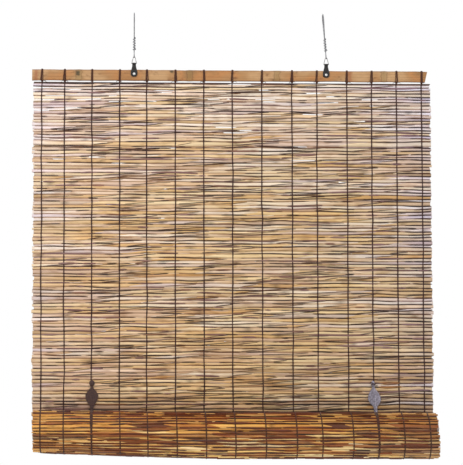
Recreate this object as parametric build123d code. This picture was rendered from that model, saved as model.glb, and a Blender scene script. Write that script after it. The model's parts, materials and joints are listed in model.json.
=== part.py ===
from build123d import *
import math
import os

# Bamboo roller blind, part rolled up and hung from a round bar by two wire hangers.
# X runs to the viewer's right, Z up, and the viewer stands on the -Y side.
# The origin is on the axis of the bar that the wires loop over, midway between the two wires.
# Every size is in millimetres.
# Pieces of the blind are made upright and then lean back about the rings, as its weight makes them hang.

# Hanging wires
BAR_DIAMETER = 28
LOOP_CLEARANCE = 1.0
WIRE_DIAMETER = 2.4
WIRE_SIDES = 8
BEND_CHORDS = 3
BEND_RUN = 0.4
SHANK_BEND = 12
LOOP_FOOT_BEND = 10
SHANK_DROP = 96.5
SHANK_LEAN = 7
CROSSING_DROP = 46
TAIL_LENGTH = 26
EYE_TIP_RISE = 6.5
LINK_CLEARANCE = 0.3

# Triangular rings
RING_WIRE_DIAMETER = 1.8
RING_SIDES = 8
RING_WIDTH = 13.2
RING_HEIGHT = 17.2
RING_TIP_WIDTH = 4.0
RING_CORNER_RADIUS = 1.0
RING_JOINT_GAP = 0.6

# Hanger plates and their screws
PLATE_THICKNESS = 2.0
PLATE_NECK_WIDTH = 9.6
PLATE_NECK_LENGTH = 6.5
PLATE_WIDTH = 16.6
PLATE_SHOULDER_DROP = 21
PLATE_LENGTH = 33.5
PLATE_FOOT_RADIUS = 6.6
PLATE_WAIST_RADIUS = 4.8
BARREL_WALL = 1.2
BARREL_SIDES = 12
BARREL_CLEARANCE = 0.1
SCREW_DROP = 26.3
SCREW_HEAD_DIAMETER = 6.8
SCREW_HEAD_HEIGHT = 2.2
SCREW_DIAMETER = 3.0
SCREW_LENGTH = 8.0
SCREW_CLEARANCE = 0.1
HANGER_STRING_NUMBERS = {"left": 4, "right": 11}
HANGER_INSETS = {"left": 35.5, "right": 23.5}

# Head rail, a split bamboo slat
RAIL_SHIFT = -4
RAIL_HEIGHT = 27.5
RAIL_THICKNESS = 8
RAIL_EDGE = 1.4
RAIL_END_SLANT = 6
RAIL_BELOW_PIVOT = 15.8
NODE_WIDTH = 7
NODE_RISE = 0.7
NODE_STRING_NUMBERS = [2, 6, 9, 13]

# Reed mat
MAT_WIDTH = 1000
MAT_THICKNESS = 6
MAT_BELOW_RAIL = 3.3
REED_PITCH = 7.5
REED_GROOVE = 1.4
HANG_LENGTH = 885
GAP_COUNT = 88
GAP_HEIGHT = 2.2
GAP_SHORTEST = 28
GAP_LONGEST = 86
GAP_MARGIN = 22
GAP_DRIFT = 1.5
GAP_FREE_ROWS = 12

# Warp strings
STRING_WIDTH = 3.0
STRING_THICKNESS = 1.2
STRING_LEFT_MARGIN = 21.5
STRING_RIGHT_MARGIN = 18.5
STRING_GAPS = [57, 69, 70, 68, 72, 72, 72, 75, 76, 63, 76, 63, 63, 64]
FRONT_STRAND_LIFT = 18
TIE_CLEARANCE = 0.2
TIE_TOP_WIDTH = 4.4
TIE_BOTTOM_WIDTH = 7.6
TIE_SLIT_WIDTH = 1.6
TIE_SLIT_FROM_TOP = 3
TIE_SLIT_FROM_BOTTOM = 2

# Roll at the foot
ROLL_RADIUS = 58
ROLL_LEFT_RADIUS = 51.5
ROLL_TAPER_LENGTH = 413
ROLL_SHIFT = 8
TURN_PITCH = 6.5
TURNS = 5.45
TURN_STEP = 20
JOIN_CLEARANCE = 0.3
ROLL_STRING_STEP = 22.5
ROLL_STRING_SEAT = 1.2
ROLL_STRING_THICKNESS = 1.4
ROLL_STRING_START = 2
ROLL_STRING_END = 336
BATTEN_HEIGHT = 27.5
BATTEN_THICKNESS = 8
BATTEN_CLEARANCE = 0.3

# Leaf hooks
HOOK_STRING_NUMBERS = {"left": 3, "right": 13}
HOOK_OFFSET = 6
HOOK_THICKNESS = 1.6
HOOK_RISE = 127
HOOK_KNOB_RADIUS = 6.3
HOOK_NECK_WIDTH = 5.6
HOOK_NECK_DROP = 10
HOOK_SHOULDER_WIDTH = 21
HOOK_SHOULDER_DROP = 20.8
HOOK_LEAF_WIDTH = 32
HOOK_LEAF_DROP = 34
HOOK_FLANK_WIDTH = 25
HOOK_FLANK_DROP = 47.8
HOOK_LEAF_END = 57
HOOK_TAIL_WIDTH = 8.4
HOOK_RIB_WIDTH = 3.2
HOOK_RIB_RISE = 0.8
HOOK_CLEARANCE = 0.3
PRONG_DIAMETER = 2.4
PRONG_TURN_DOWN = 13
PRONG_BEND = 2.6
PRONG_SLOT_WIDTH = 8
PRONG_SLOT_HEIGHT = 4.6

# How the whole blind hangs, and how far a cutting shape stands out of what it cuts
HANG_LEAN = 2.13
CUT_MARGIN = 1


def string_place(number):
    """Where a warp string crosses the mat from the mat's middle, counted from 1 at the left."""
    span = MAT_WIDTH - STRING_LEFT_MARGIN - STRING_RIGHT_MARGIN
    share = sum(STRING_GAPS[: number - 1]) / sum(STRING_GAPS)
    return STRING_LEFT_MARGIN - MAT_WIDTH / 2 + share * span


def hanger_place(side):
    """Where a hanger stands from the mat's middle, between two strings."""
    return string_place(HANGER_STRING_NUMBERS[side]) + HANGER_INSETS[side]


# Places that follow from the sizes
PIVOT_Z = -SHANK_DROP - RING_HEIGHT
RAIL_TOP = PIVOT_Z - RAIL_BELOW_PIVOT
RAIL_BOTTOM = RAIL_TOP - RAIL_HEIGHT
RAIL_FRONT = PLATE_THICKNESS / 2
MAT_Y = RAIL_FRONT + RAIL_THICKNESS / 2
MAT_TOP = RAIL_BOTTOM - MAT_BELOW_RAIL
MAT_CENTRE = -(hanger_place("left") + hanger_place("right")) / 2
RAIL_CENTRE = MAT_CENTRE + RAIL_SHIFT
MAT_FRONT = MAT_Y - MAT_THICKNESS / 2
MAT_BACK = MAT_Y + MAT_THICKNESS / 2
ROLL_Y = MAT_BACK - ROLL_RADIUS
ROLL_Z = MAT_TOP - HANG_LENGTH
ROLL_CENTRE = MAT_CENTRE + ROLL_SHIFT
ROLL_LEFT = ROLL_CENTRE - MAT_WIDTH / 2
ROLL_RIGHT = ROLL_CENTRE + MAT_WIDTH / 2
STRING_FRONT = MAT_FRONT - STRING_THICKNESS
STRING_BACK = MAT_BACK + STRING_THICKNESS


def string_x(number):
    """The place of a warp string along X."""
    return MAT_CENTRE + string_place(number)


def across(points, x, width):
    """A bar of the given width along X whose end view has these (y, z) corners."""
    end = Plane(origin=(x - width / 2, 0, 0), x_dir=(0, 1, 0), z_dir=(1, 0, 0))
    return extrude(end * make_face(Polyline(*points, close=True)), width)


def facing(sketch, front, thickness):
    """A sheet with this front view, drawn in (x, z), from its front face backwards."""
    view = Plane(origin=(0, front + thickness, 0), x_dir=(1, 0, 0), z_dir=(0, -1, 0))
    return extrude(view * sketch, thickness)


def tube(points, radii, diameter, sides):
    """A wire bent along straight runs, each bend made of a few short chords."""
    smooth = FilletPolyline(*points, radius=radii)
    corners = [smooth @ 0]
    for edge in smooth.order_edges():
        chords = BEND_CHORDS if edge.geom_type == GeomType.CIRCLE else 1
        corners += [edge @ (step / chords) for step in range(1, chords + 1)]
    path = Polyline(*corners)
    start = Plane(origin=path @ 0, z_dir=path % 0)
    section = start * RegularPolygon(diameter / 2, sides)
    return sweep(section, path=path, transition=Transition.RIGHT)


def hanging_wire(x, lean):
    """One bent wire: the eye below, the shank, the loop over the bar and the tail beside the shank."""
    eye = RING_WIRE_DIAMETER / 2 + LINK_CLEARANCE + WIRE_DIAMETER / 2
    loop = BAR_DIAMETER / 2 + LOOP_CLEARANCE + WIRE_DIAMETER / 2
    beside = eye - WIRE_DIAMETER - LINK_CLEARANCE
    crossing = SHANK_DROP - CROSSING_DROP
    points = [
        (0, -eye, EYE_TIP_RISE),
        (0, -eye, -eye),
        (0, eye, -eye),
        (0, eye, crossing),
        (0, loop, SHANK_DROP - loop / 2),
        (0, loop, SHANK_DROP + loop),
        (0, -loop, SHANK_DROP + loop),
        (0, -loop, SHANK_DROP - loop / 2),
        (0, beside, crossing),
        (0, beside, crossing - TAIL_LENGTH),
    ]
    over_bar = loop - BEND_RUN
    foot = [SHANK_BEND, LOOP_FOOT_BEND]
    radii = [eye - BEND_RUN, eye - BEND_RUN] + foot + [over_bar, over_bar] + foot[::-1]
    slope = math.degrees(math.atan(lean / SHANK_DROP))
    return Pos(x, 0, -SHANK_DROP) * Rot(0, slope, 0) * tube(points, radii, WIRE_DIAMETER, WIRE_SIDES)


def ring(x):
    """A triangular ring whose ends meet inside the barrel of the plate."""
    half = RING_WIDTH / 2
    gap = RING_JOINT_GAP / 2
    tip = RING_TIP_WIDTH / 2
    points = [
        (x + gap, 0, PIVOT_Z),
        (x + half, 0, PIVOT_Z),
        (x + tip, 0, PIVOT_Z + RING_HEIGHT),
        (x - tip, 0, PIVOT_Z + RING_HEIGHT),
        (x - half, 0, PIVOT_Z),
        (x - gap, 0, PIVOT_Z),
    ]
    return tube(points, [RING_CORNER_RADIUS] * 4, RING_WIRE_DIAMETER, RING_SIDES)


def plate_outline():
    """Front view of a hanger plate about its pivot: a neck that widens to a rounded foot."""
    neck = PLATE_NECK_WIDTH / 2
    half = PLATE_WIDTH / 2
    corners = [
        (-neck, 0),
        (-neck, -PLATE_NECK_LENGTH),
        (-half, -PLATE_SHOULDER_DROP),
        (-half, -PLATE_LENGTH),
        (half, -PLATE_LENGTH),
        (half, -PLATE_SHOULDER_DROP),
        (neck, -PLATE_NECK_LENGTH),
        (neck, 0),
    ]
    outline = make_face(Polyline(*corners, close=True))
    foot = outline.vertices().group_by(Axis.Y)[0]
    outline = fillet(foot, min(PLATE_FOOT_RADIUS, half * 0.95))
    waist = outline.vertices().group_by(Axis.Y)[-2]
    return fillet(waist, PLATE_WAIST_RADIUS)


def hanger_plate(x):
    """A stamped plate whose neck is curled round the base of the ring, with a hole for its screw."""
    bore = RING_WIRE_DIAMETER / 2 + BARREL_CLEARANCE
    sheet = facing(plate_outline(), -PLATE_THICKNESS / 2, PLATE_THICKNESS)
    sideways = Rot(0, 90, 0)
    curl = RegularPolygon(bore + BARREL_WALL, BARREL_SIDES)
    barrel = sideways * extrude(curl, PLATE_NECK_WIDTH / 2, both=True)
    inside = RegularPolygon(bore, BARREL_SIDES, major_radius=False)
    channel = sideways * extrude(inside, PLATE_NECK_WIDTH, both=True)
    drill = Cylinder(SCREW_DIAMETER / 2 + SCREW_CLEARANCE, PLATE_THICKNESS * 3)
    hole = Pos(0, 0, -SCREW_DROP) * Rot(90, 0, 0) * drill
    return Pos(x, 0, PIVOT_Z) * (sheet + barrel - channel - hole)


def hanger_screw(x):
    """A domed screw through the plate into the rail."""
    head_radius = SCREW_HEAD_DIAMETER / 2
    head = Cylinder(head_radius, SCREW_HEAD_HEIGHT, align=(Align.CENTER, Align.CENTER, Align.MIN))
    rim = head.edges().filter_by(GeomType.CIRCLE).sort_by(Axis.Z)[-1]
    head = chamfer(rim, SCREW_HEAD_HEIGHT * 0.5)
    shank = Cylinder(SCREW_DIAMETER / 2, SCREW_LENGTH, align=(Align.CENTER, Align.CENTER, Align.MAX))
    seat = Pos(x, -PLATE_THICKNESS / 2, PIVOT_Z - SCREW_DROP)
    return seat * Rot(90, 0, 0) * (head + shank)


def slat_section(thickness, height, grow=0):
    """End view of a bamboo slat with eased edges."""
    section = Rectangle(thickness + 2 * grow, height + 2 * grow)
    return chamfer(section.vertices(), RAIL_EDGE)


def slat(left, middle, length, section):
    """A run of slat behind the plates, from its left end, with its middle at this height."""
    end = Plane(origin=(left, MAT_Y, middle), x_dir=(0, 1, 0), z_dir=(1, 0, 0))
    return extrude(end * section, length)


def head_rail():
    """The split bamboo slat at the top, its right end sawn aslant, with pilot holes for the screws."""
    middle = RAIL_TOP - RAIL_HEIGHT / 2
    rail = slat(RAIL_CENTRE - MAT_WIDTH / 2, middle, MAT_WIDTH, slat_section(RAIL_THICKNESS, RAIL_HEIGHT))
    for number in NODE_STRING_NUMBERS:
        between = (string_x(number) + string_x(number + 1)) / 2
        swollen = slat_section(RAIL_THICKNESS, RAIL_HEIGHT, NODE_RISE)
        rail += slat(between - NODE_WIDTH / 2, middle, NODE_WIDTH, swollen)
    right = RAIL_CENTRE + MAT_WIDTH / 2
    beyond = right + CUT_MARGIN
    above = RAIL_TOP + CUT_MARGIN
    below = RAIL_BOTTOM - CUT_MARGIN
    sliver = [(right, above), (right - RAIL_END_SLANT, below), (beyond, below), (beyond, above)]
    rail -= facing(make_face(Polyline(*sliver, close=True)), RAIL_FRONT - RAIL_THICKNESS, RAIL_THICKNESS * 3)
    pilot = SCREW_LENGTH - PLATE_THICKNESS + SCREW_CLEARANCE
    for side in HANGER_INSETS:
        drill = Cylinder(SCREW_DIAMETER / 2, pilot, align=(Align.CENTER, Align.CENTER, Align.MAX))
        place = Pos(MAT_CENTRE + hanger_place(side), RAIL_FRONT, PIVOT_Z - SCREW_DROP)
        rail -= place * Rot(90, 0, 0) * drill
    return rail


def rail_tie(x):
    """The loop of a warp string round the rail, which spreads in an A towards the mat."""
    reach = TIE_CLEARANCE + STRING_THICKNESS
    top = RAIL_TOP + reach
    bottom = RAIL_BOTTOM - reach
    front = RAIL_FRONT - reach
    depth = RAIL_THICKNESS + 2 * reach
    spread = [
        (x - TIE_TOP_WIDTH / 2, top),
        (x + TIE_TOP_WIDTH / 2, top),
        (x + TIE_BOTTOM_WIDTH / 2, bottom),
        (x - TIE_BOTTOM_WIDTH / 2, bottom),
    ]
    tie = facing(make_face(Polyline(*spread, close=True)), front, depth)
    middle = (x, MAT_Y, (RAIL_TOP + RAIL_BOTTOM) / 2)
    tie -= Pos(*middle) * Box(
        TIE_BOTTOM_WIDTH * 2, RAIL_THICKNESS + 2 * TIE_CLEARANCE, RAIL_HEIGHT + 2 * TIE_CLEARANCE
    )
    foot = RAIL_BOTTOM + TIE_SLIT_FROM_BOTTOM
    half = TIE_SLIT_WIDTH / 2
    slit = [(x, RAIL_TOP - TIE_SLIT_FROM_TOP), (x + half, foot), (x - half, foot)]
    return tie - facing(make_face(Polyline(*slit, close=True)), front - CUT_MARGIN, depth + 2 * CUT_MARGIN)


def warp_string(x):
    """A warp string from its knot under the rail: one strand down the front and one down the back."""
    knot_top = RAIL_BOTTOM - TIE_CLEARANCE - STRING_THICKNESS
    knot_bottom = knot_top - STRING_THICKNESS
    front_end = ROLL_Z + FRONT_STRAND_LIFT
    back_end = ROLL_Z + JOIN_CLEARANCE
    corners = [
        (STRING_FRONT, knot_top),
        (STRING_BACK, knot_top),
        (STRING_BACK, back_end),
        (MAT_BACK, back_end),
        (MAT_BACK, knot_bottom),
        (MAT_FRONT, knot_bottom),
        (MAT_FRONT, front_end),
        (STRING_FRONT, front_end),
    ]
    return across(corners, x, STRING_WIDTH)


def mat_reeds():
    """How many reeds hang between the rail and the roll, and the height that each takes."""
    height = HANG_LENGTH - JOIN_CLEARANCE
    count = round(height / REED_PITCH)
    return count, height / count


def reed_ridges(face, groove):
    """The (y, z) corners of one side of the mat from the top down, one flat-topped ridge for each reed."""
    count, pitch = mat_reeds()
    corners = []
    for reed in range(count):
        top = MAT_TOP - reed * pitch
        corners += [(groove, top), (face, top - pitch / 4), (face, top - pitch * 3 / 4)]
    return corners + [(groove, MAT_TOP - count * pitch)]


def reed_gaps():
    """Slots that show light between reeds, closer together towards the rail."""
    count, pitch = mat_reeds()
    rows = count - GAP_FREE_ROWS
    golden = (math.sqrt(5) - 1) / 2
    slots = []
    for number in range(GAP_COUNT):
        row = 1 + int(rows * ((number + 0.5) / GAP_COUNT) ** GAP_DRIFT)
        length = GAP_SHORTEST + (GAP_LONGEST - GAP_SHORTEST) * (number * golden * golden * 2 % 1)
        room = MAT_WIDTH - 2 * GAP_MARGIN - length
        centre = MAT_CENTRE - room / 2 + room * (number * golden % 1)
        slot = Box(length, MAT_THICKNESS * 2, GAP_HEIGHT)
        slots.append(Pos(centre, MAT_Y, MAT_TOP - row * pitch) * slot)
    return slots


def reed_mat():
    """The hanging stretch of reeds as one ridged wall, with its gaps and the slots of the hooks' prongs."""
    front = reed_ridges(MAT_FRONT, MAT_FRONT + REED_GROOVE)
    back = reed_ridges(MAT_BACK, MAT_BACK - REED_GROOVE)
    mat = across(front + back[::-1], MAT_CENTRE, MAT_WIDTH)
    slots = reed_gaps()
    for number in HOOK_STRING_NUMBERS.values():
        slot = Box(PRONG_SLOT_WIDTH, MAT_THICKNESS * 2, PRONG_SLOT_HEIGHT)
        slots.append(Pos(string_x(number) + HOOK_OFFSET, MAT_Y, ROLL_Z + HOOK_RISE) * slot)
    return mat - slots


def roll_scale(x):
    """How tightly the roll is wound at x: it narrows towards its left end."""
    share = min(1, max(0, (x - ROLL_LEFT) / ROLL_TAPER_LENGTH))
    tightest = ROLL_LEFT_RADIUS / ROLL_RADIUS
    return tightest + (1 - tightest) * share


def spiral(angle, depth, scale):
    """A (y, z) point of the roll's end view, at a depth in its outer face, turning down from the mat."""
    radius = (ROLL_RADIUS - TURN_PITCH * angle / 360 - depth) * scale
    turn = math.radians(angle)
    return (ROLL_Y + radius * math.cos(turn), ROLL_Z - radius * math.sin(turn))


def roll_outline(scale):
    """End view of the roll: one coiled band, ridged by its reeds on the outer turn."""
    reeds = round(2 * math.pi * ROLL_RADIUS / REED_PITCH)
    step = 360 / reeds
    outer = []
    for reed in range(reeds):
        start = reed * step
        outer.append(spiral(start, REED_GROOVE, scale))
        outer.append(spiral(start + step / 4, 0, scale))
        outer.append(spiral(start + step * 3 / 4, 0, scale))
    last = round(360 * TURNS / TURN_STEP)
    first_inner = round(360 / TURN_STEP)
    outer += [spiral(number * TURN_STEP, 0, scale) for number in range(first_inner, last + 1)]
    inner = [spiral(number * TURN_STEP, MAT_THICKNESS, scale) for number in range(last, -1, -1)]
    return outer + inner


def roll_section(x):
    """The roll's end view as a face at x."""
    end = Plane(origin=(x, 0, 0), x_dir=(0, 1, 0), z_dir=(1, 0, 0))
    return end * make_face(Polyline(*roll_outline(roll_scale(x)), close=True))


def reed_roll():
    """The rolled-up reeds: all turns are one coiled solid, tighter at the left end."""
    ends = [ROLL_LEFT, ROLL_LEFT + ROLL_TAPER_LENGTH, ROLL_RIGHT]
    return loft([roll_section(x) for x in ends], ruled=True)


def roll_string(x):
    """A warp string where it lies round the outer turn of the roll."""
    scale = roll_scale(x)
    steps = int((ROLL_STRING_END - ROLL_STRING_START) / ROLL_STRING_STEP)
    angles = [ROLL_STRING_START + number * ROLL_STRING_STEP for number in range(steps + 1)]
    angles.append(ROLL_STRING_END)
    seat = -ROLL_STRING_SEAT
    under = [spiral(angle, seat, scale) for angle in angles]
    over = [spiral(angle, seat - ROLL_STRING_THICKNESS, scale) for angle in reversed(angles)]
    return across(under + over, x, STRING_WIDTH)


def bottom_batten():
    """The slat at the foot of the mat, round which the mat is rolled, lying on the innermost turn."""
    under = 360 * int(TURNS - 0.25) + 90
    facet = spiral(under, MAT_THICKNESS, roll_scale(ROLL_LEFT))
    floor = ROLL_Z - (ROLL_Z - facet[1]) * math.cos(math.radians(TURN_STEP / 2))
    middle = floor + BATTEN_CLEARANCE + BATTEN_HEIGHT / 2
    end = Plane(origin=(ROLL_LEFT, ROLL_Y, middle), x_dir=(0, 1, 0), z_dir=(1, 0, 0))
    return extrude(end * slat_section(BATTEN_THICKNESS, BATTEN_HEIGHT), MAT_WIDTH)


def hook_outline(tail_end):
    """Front view of a leaf hook about its prong: knob, neck, pointed leaf and tail."""
    leaf_top = -HOOK_NECK_DROP
    widest = (HOOK_LEAF_WIDTH / 2, -HOOK_LEAF_DROP)
    neck = HOOK_NECK_WIDTH / 2
    tail = HOOK_TAIL_WIDTH / 2
    shoulder = (HOOK_SHOULDER_WIDTH / 2, -HOOK_SHOULDER_DROP)
    flank = (HOOK_FLANK_WIDTH / 2, -HOOK_FLANK_DROP)
    upper = ThreePointArc((neck, leaf_top), shoulder, widest)
    lower = ThreePointArc(widest, flank, (tail, -HOOK_LEAF_END))
    mirrored = [curve.mirror(Plane.YZ) for curve in (upper, lower)]
    top = Line((-neck, leaf_top), (neck, leaf_top))
    bottom = Line((-tail, -HOOK_LEAF_END), (tail, -HOOK_LEAF_END))
    leaf = make_face([upper, lower, bottom, top] + mirrored)
    stem = Rectangle(HOOK_NECK_WIDTH, HOOK_NECK_DROP + 1, align=(Align.CENTER, Align.MAX))
    length = tail_end - HOOK_LEAF_END + 1
    strip = Pos(0, -HOOK_LEAF_END + 1) * Rectangle(HOOK_TAIL_WIDTH, length, align=(Align.CENTER, Align.MAX))
    return leaf + Circle(HOOK_KNOB_RADIUS) + stem + strip


def leaf_hook(number):
    """A leaf-shaped hook: its prong goes through the mat and its tail holds the roll behind its crown."""
    front = STRING_FRONT - HOOK_CLEARANCE - HOOK_THICKNESS
    reach = ROLL_RADIUS + ROLL_STRING_SEAT + ROLL_STRING_THICKNESS + HOOK_CLEARANCE
    run = front - ROLL_Y
    tail_end = HOOK_RISE - math.sqrt(reach * reach - run * run)
    body = facing(hook_outline(tail_end), front, HOOK_THICKNESS)
    rib = Rectangle(HOOK_RIB_WIDTH, HOOK_LEAF_END - HOOK_NECK_DROP, align=(Align.CENTER, Align.MAX))
    body += facing(Pos(0, -HOOK_NECK_DROP) * rib, front - HOOK_RIB_RISE, HOOK_RIB_RISE)
    behind = STRING_BACK + HOOK_CLEARANCE + PRONG_DIAMETER / 2
    points = [(0, front + HOOK_THICKNESS / 2, 0), (0, behind, 0), (0, behind, -PRONG_TURN_DOWN)]
    body += tube(points, [PRONG_BEND], PRONG_DIAMETER, WIRE_SIDES)
    return Pos(string_x(number) + HOOK_OFFSET, 0, ROLL_Z + HOOK_RISE) * body


def save(shape, name):
    """Writes one node."""
    export_step(shape, f"parts/{name}.step")


def hang(shape, name):
    """Leans a piece of the blind about the bases of the rings and writes it."""
    lean = Pos(0, 0, PIVOT_Z) * Rot(HANG_LEAN, 0, 0) * Pos(0, 0, -PIVOT_Z)
    save(lean * shape, name)


os.makedirs("parts", exist_ok=True)
for side, shank_lean in (("left", 0), ("right", -SHANK_LEAN)):
    hanger_x = MAT_CENTRE + hanger_place(side)
    save(hanging_wire(hanger_x, shank_lean), f"{side}_hanging_wire")
    save(ring(hanger_x), f"{side}_ring")
    hang(hanger_plate(hanger_x), f"{side}_hanger_plate")
    hang(hanger_screw(hanger_x), f"{side}_hanger_screw")
    hang(leaf_hook(HOOK_STRING_NUMBERS[side]), f"{side}_leaf_hook")
hang(head_rail(), "head_rail")
hang(reed_mat(), "reed_mat")
hang(reed_roll(), "reed_roll")
hang(bottom_batten(), "bottom_batten")
for number in range(1, len(STRING_GAPS) + 2):
    hang(rail_tie(string_x(number)), f"rail_tie_{number:02d}")
    hang(warp_string(string_x(number)), f"warp_string_{number:02d}")
    hang(roll_string(string_x(number) + ROLL_SHIFT), f"roll_string_{number:02d}")
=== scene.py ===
"""The looks of a bamboo roller blind: its reeds, yarn, slat rail, roll, hooks and wire hangers.

Every length is in metres. X runs to the viewer's right, Z up, and the viewer stands on the -Y side.
"""

from __future__ import annotations

import json
import logging
import math
from dataclasses import dataclass, field
from enum import Enum
from typing import Iterable, Protocol

import bmesh
import bpy
import numpy as np
from mathutils import Matrix, Vector

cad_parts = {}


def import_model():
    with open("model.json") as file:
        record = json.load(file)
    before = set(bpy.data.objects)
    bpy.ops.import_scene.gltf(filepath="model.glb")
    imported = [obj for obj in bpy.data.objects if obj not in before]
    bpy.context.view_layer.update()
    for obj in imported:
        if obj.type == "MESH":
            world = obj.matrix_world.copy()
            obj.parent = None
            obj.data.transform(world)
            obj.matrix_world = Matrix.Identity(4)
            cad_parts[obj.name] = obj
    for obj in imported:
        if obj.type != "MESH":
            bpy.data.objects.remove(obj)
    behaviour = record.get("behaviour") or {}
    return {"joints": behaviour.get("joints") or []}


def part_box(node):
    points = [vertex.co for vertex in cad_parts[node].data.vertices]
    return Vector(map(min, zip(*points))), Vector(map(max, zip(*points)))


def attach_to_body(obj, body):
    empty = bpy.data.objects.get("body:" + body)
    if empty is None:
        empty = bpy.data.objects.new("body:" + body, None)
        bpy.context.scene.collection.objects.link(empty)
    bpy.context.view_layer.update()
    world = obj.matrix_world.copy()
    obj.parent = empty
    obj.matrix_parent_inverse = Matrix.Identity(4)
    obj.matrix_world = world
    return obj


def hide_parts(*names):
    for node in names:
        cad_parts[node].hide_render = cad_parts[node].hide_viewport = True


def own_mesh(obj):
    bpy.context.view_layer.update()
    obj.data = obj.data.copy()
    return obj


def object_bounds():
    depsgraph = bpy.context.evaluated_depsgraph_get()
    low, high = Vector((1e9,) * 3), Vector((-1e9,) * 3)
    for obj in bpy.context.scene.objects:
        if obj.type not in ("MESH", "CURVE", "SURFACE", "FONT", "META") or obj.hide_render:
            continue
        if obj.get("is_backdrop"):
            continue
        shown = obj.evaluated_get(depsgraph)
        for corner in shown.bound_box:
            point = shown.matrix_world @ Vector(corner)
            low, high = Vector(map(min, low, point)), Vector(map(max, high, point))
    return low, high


LOG = logging.getLogger("blind")
MM = 0.001
STRINGS = 15
RAIL_NODE_GAPS = (2, 6, 9, 13)
ROD_SIDES = 8
SLIVER_SIDES = 6
REED_RINGS = ((130 * MM, 8), (240 * MM, 13), (math.inf, 18))
SLIVER_RINGS = ((80 * MM, 5), (160 * MM, 8), (math.inf, 12))

Pair = tuple[float, float]
Triple = tuple[float, float, float]
Colour = Triple
Stops = tuple[tuple[float, Colour], ...]
Array = np.ndarray
Chance = np.random.Generator
Piece = bpy.types.Object
Material = bpy.types.Material
Socket = bpy.types.NodeSocket


def linear(*levels: int) -> Colour:
    """Turns a colour written in bytes into the linear values that a shader takes."""
    shares = [level / 255 for level in levels]
    return tuple(share / 12.92 if share <= 0.04045 else ((share + 0.055) / 1.055) ** 2.4 for share in shares)


def rings_for(length: float, table: tuple[tuple[float, int], ...]) -> int:
    """How many rings a rod of that length needs, from a table of longest lengths and rings."""
    return next(rings for longest, rings in table if length < longest)


class Side(Enum):
    """The two ends of the bar, as the viewer sees them."""

    LEFT = "left"
    RIGHT = "right"

    def node(self, name: str) -> str:
        """The name of this side's solid of that kind."""
        return f"{self.value}_{name}"


class Body(Enum):
    """What a piece moves with."""

    WIRES = "hanging_wires"
    LEFT_RING = "left_ring"
    RIGHT_RING = "right_ring"
    BLIND = "blind"
    HOOKS = "hooks"
    ROLL = "roll"


# Shaders


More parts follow.
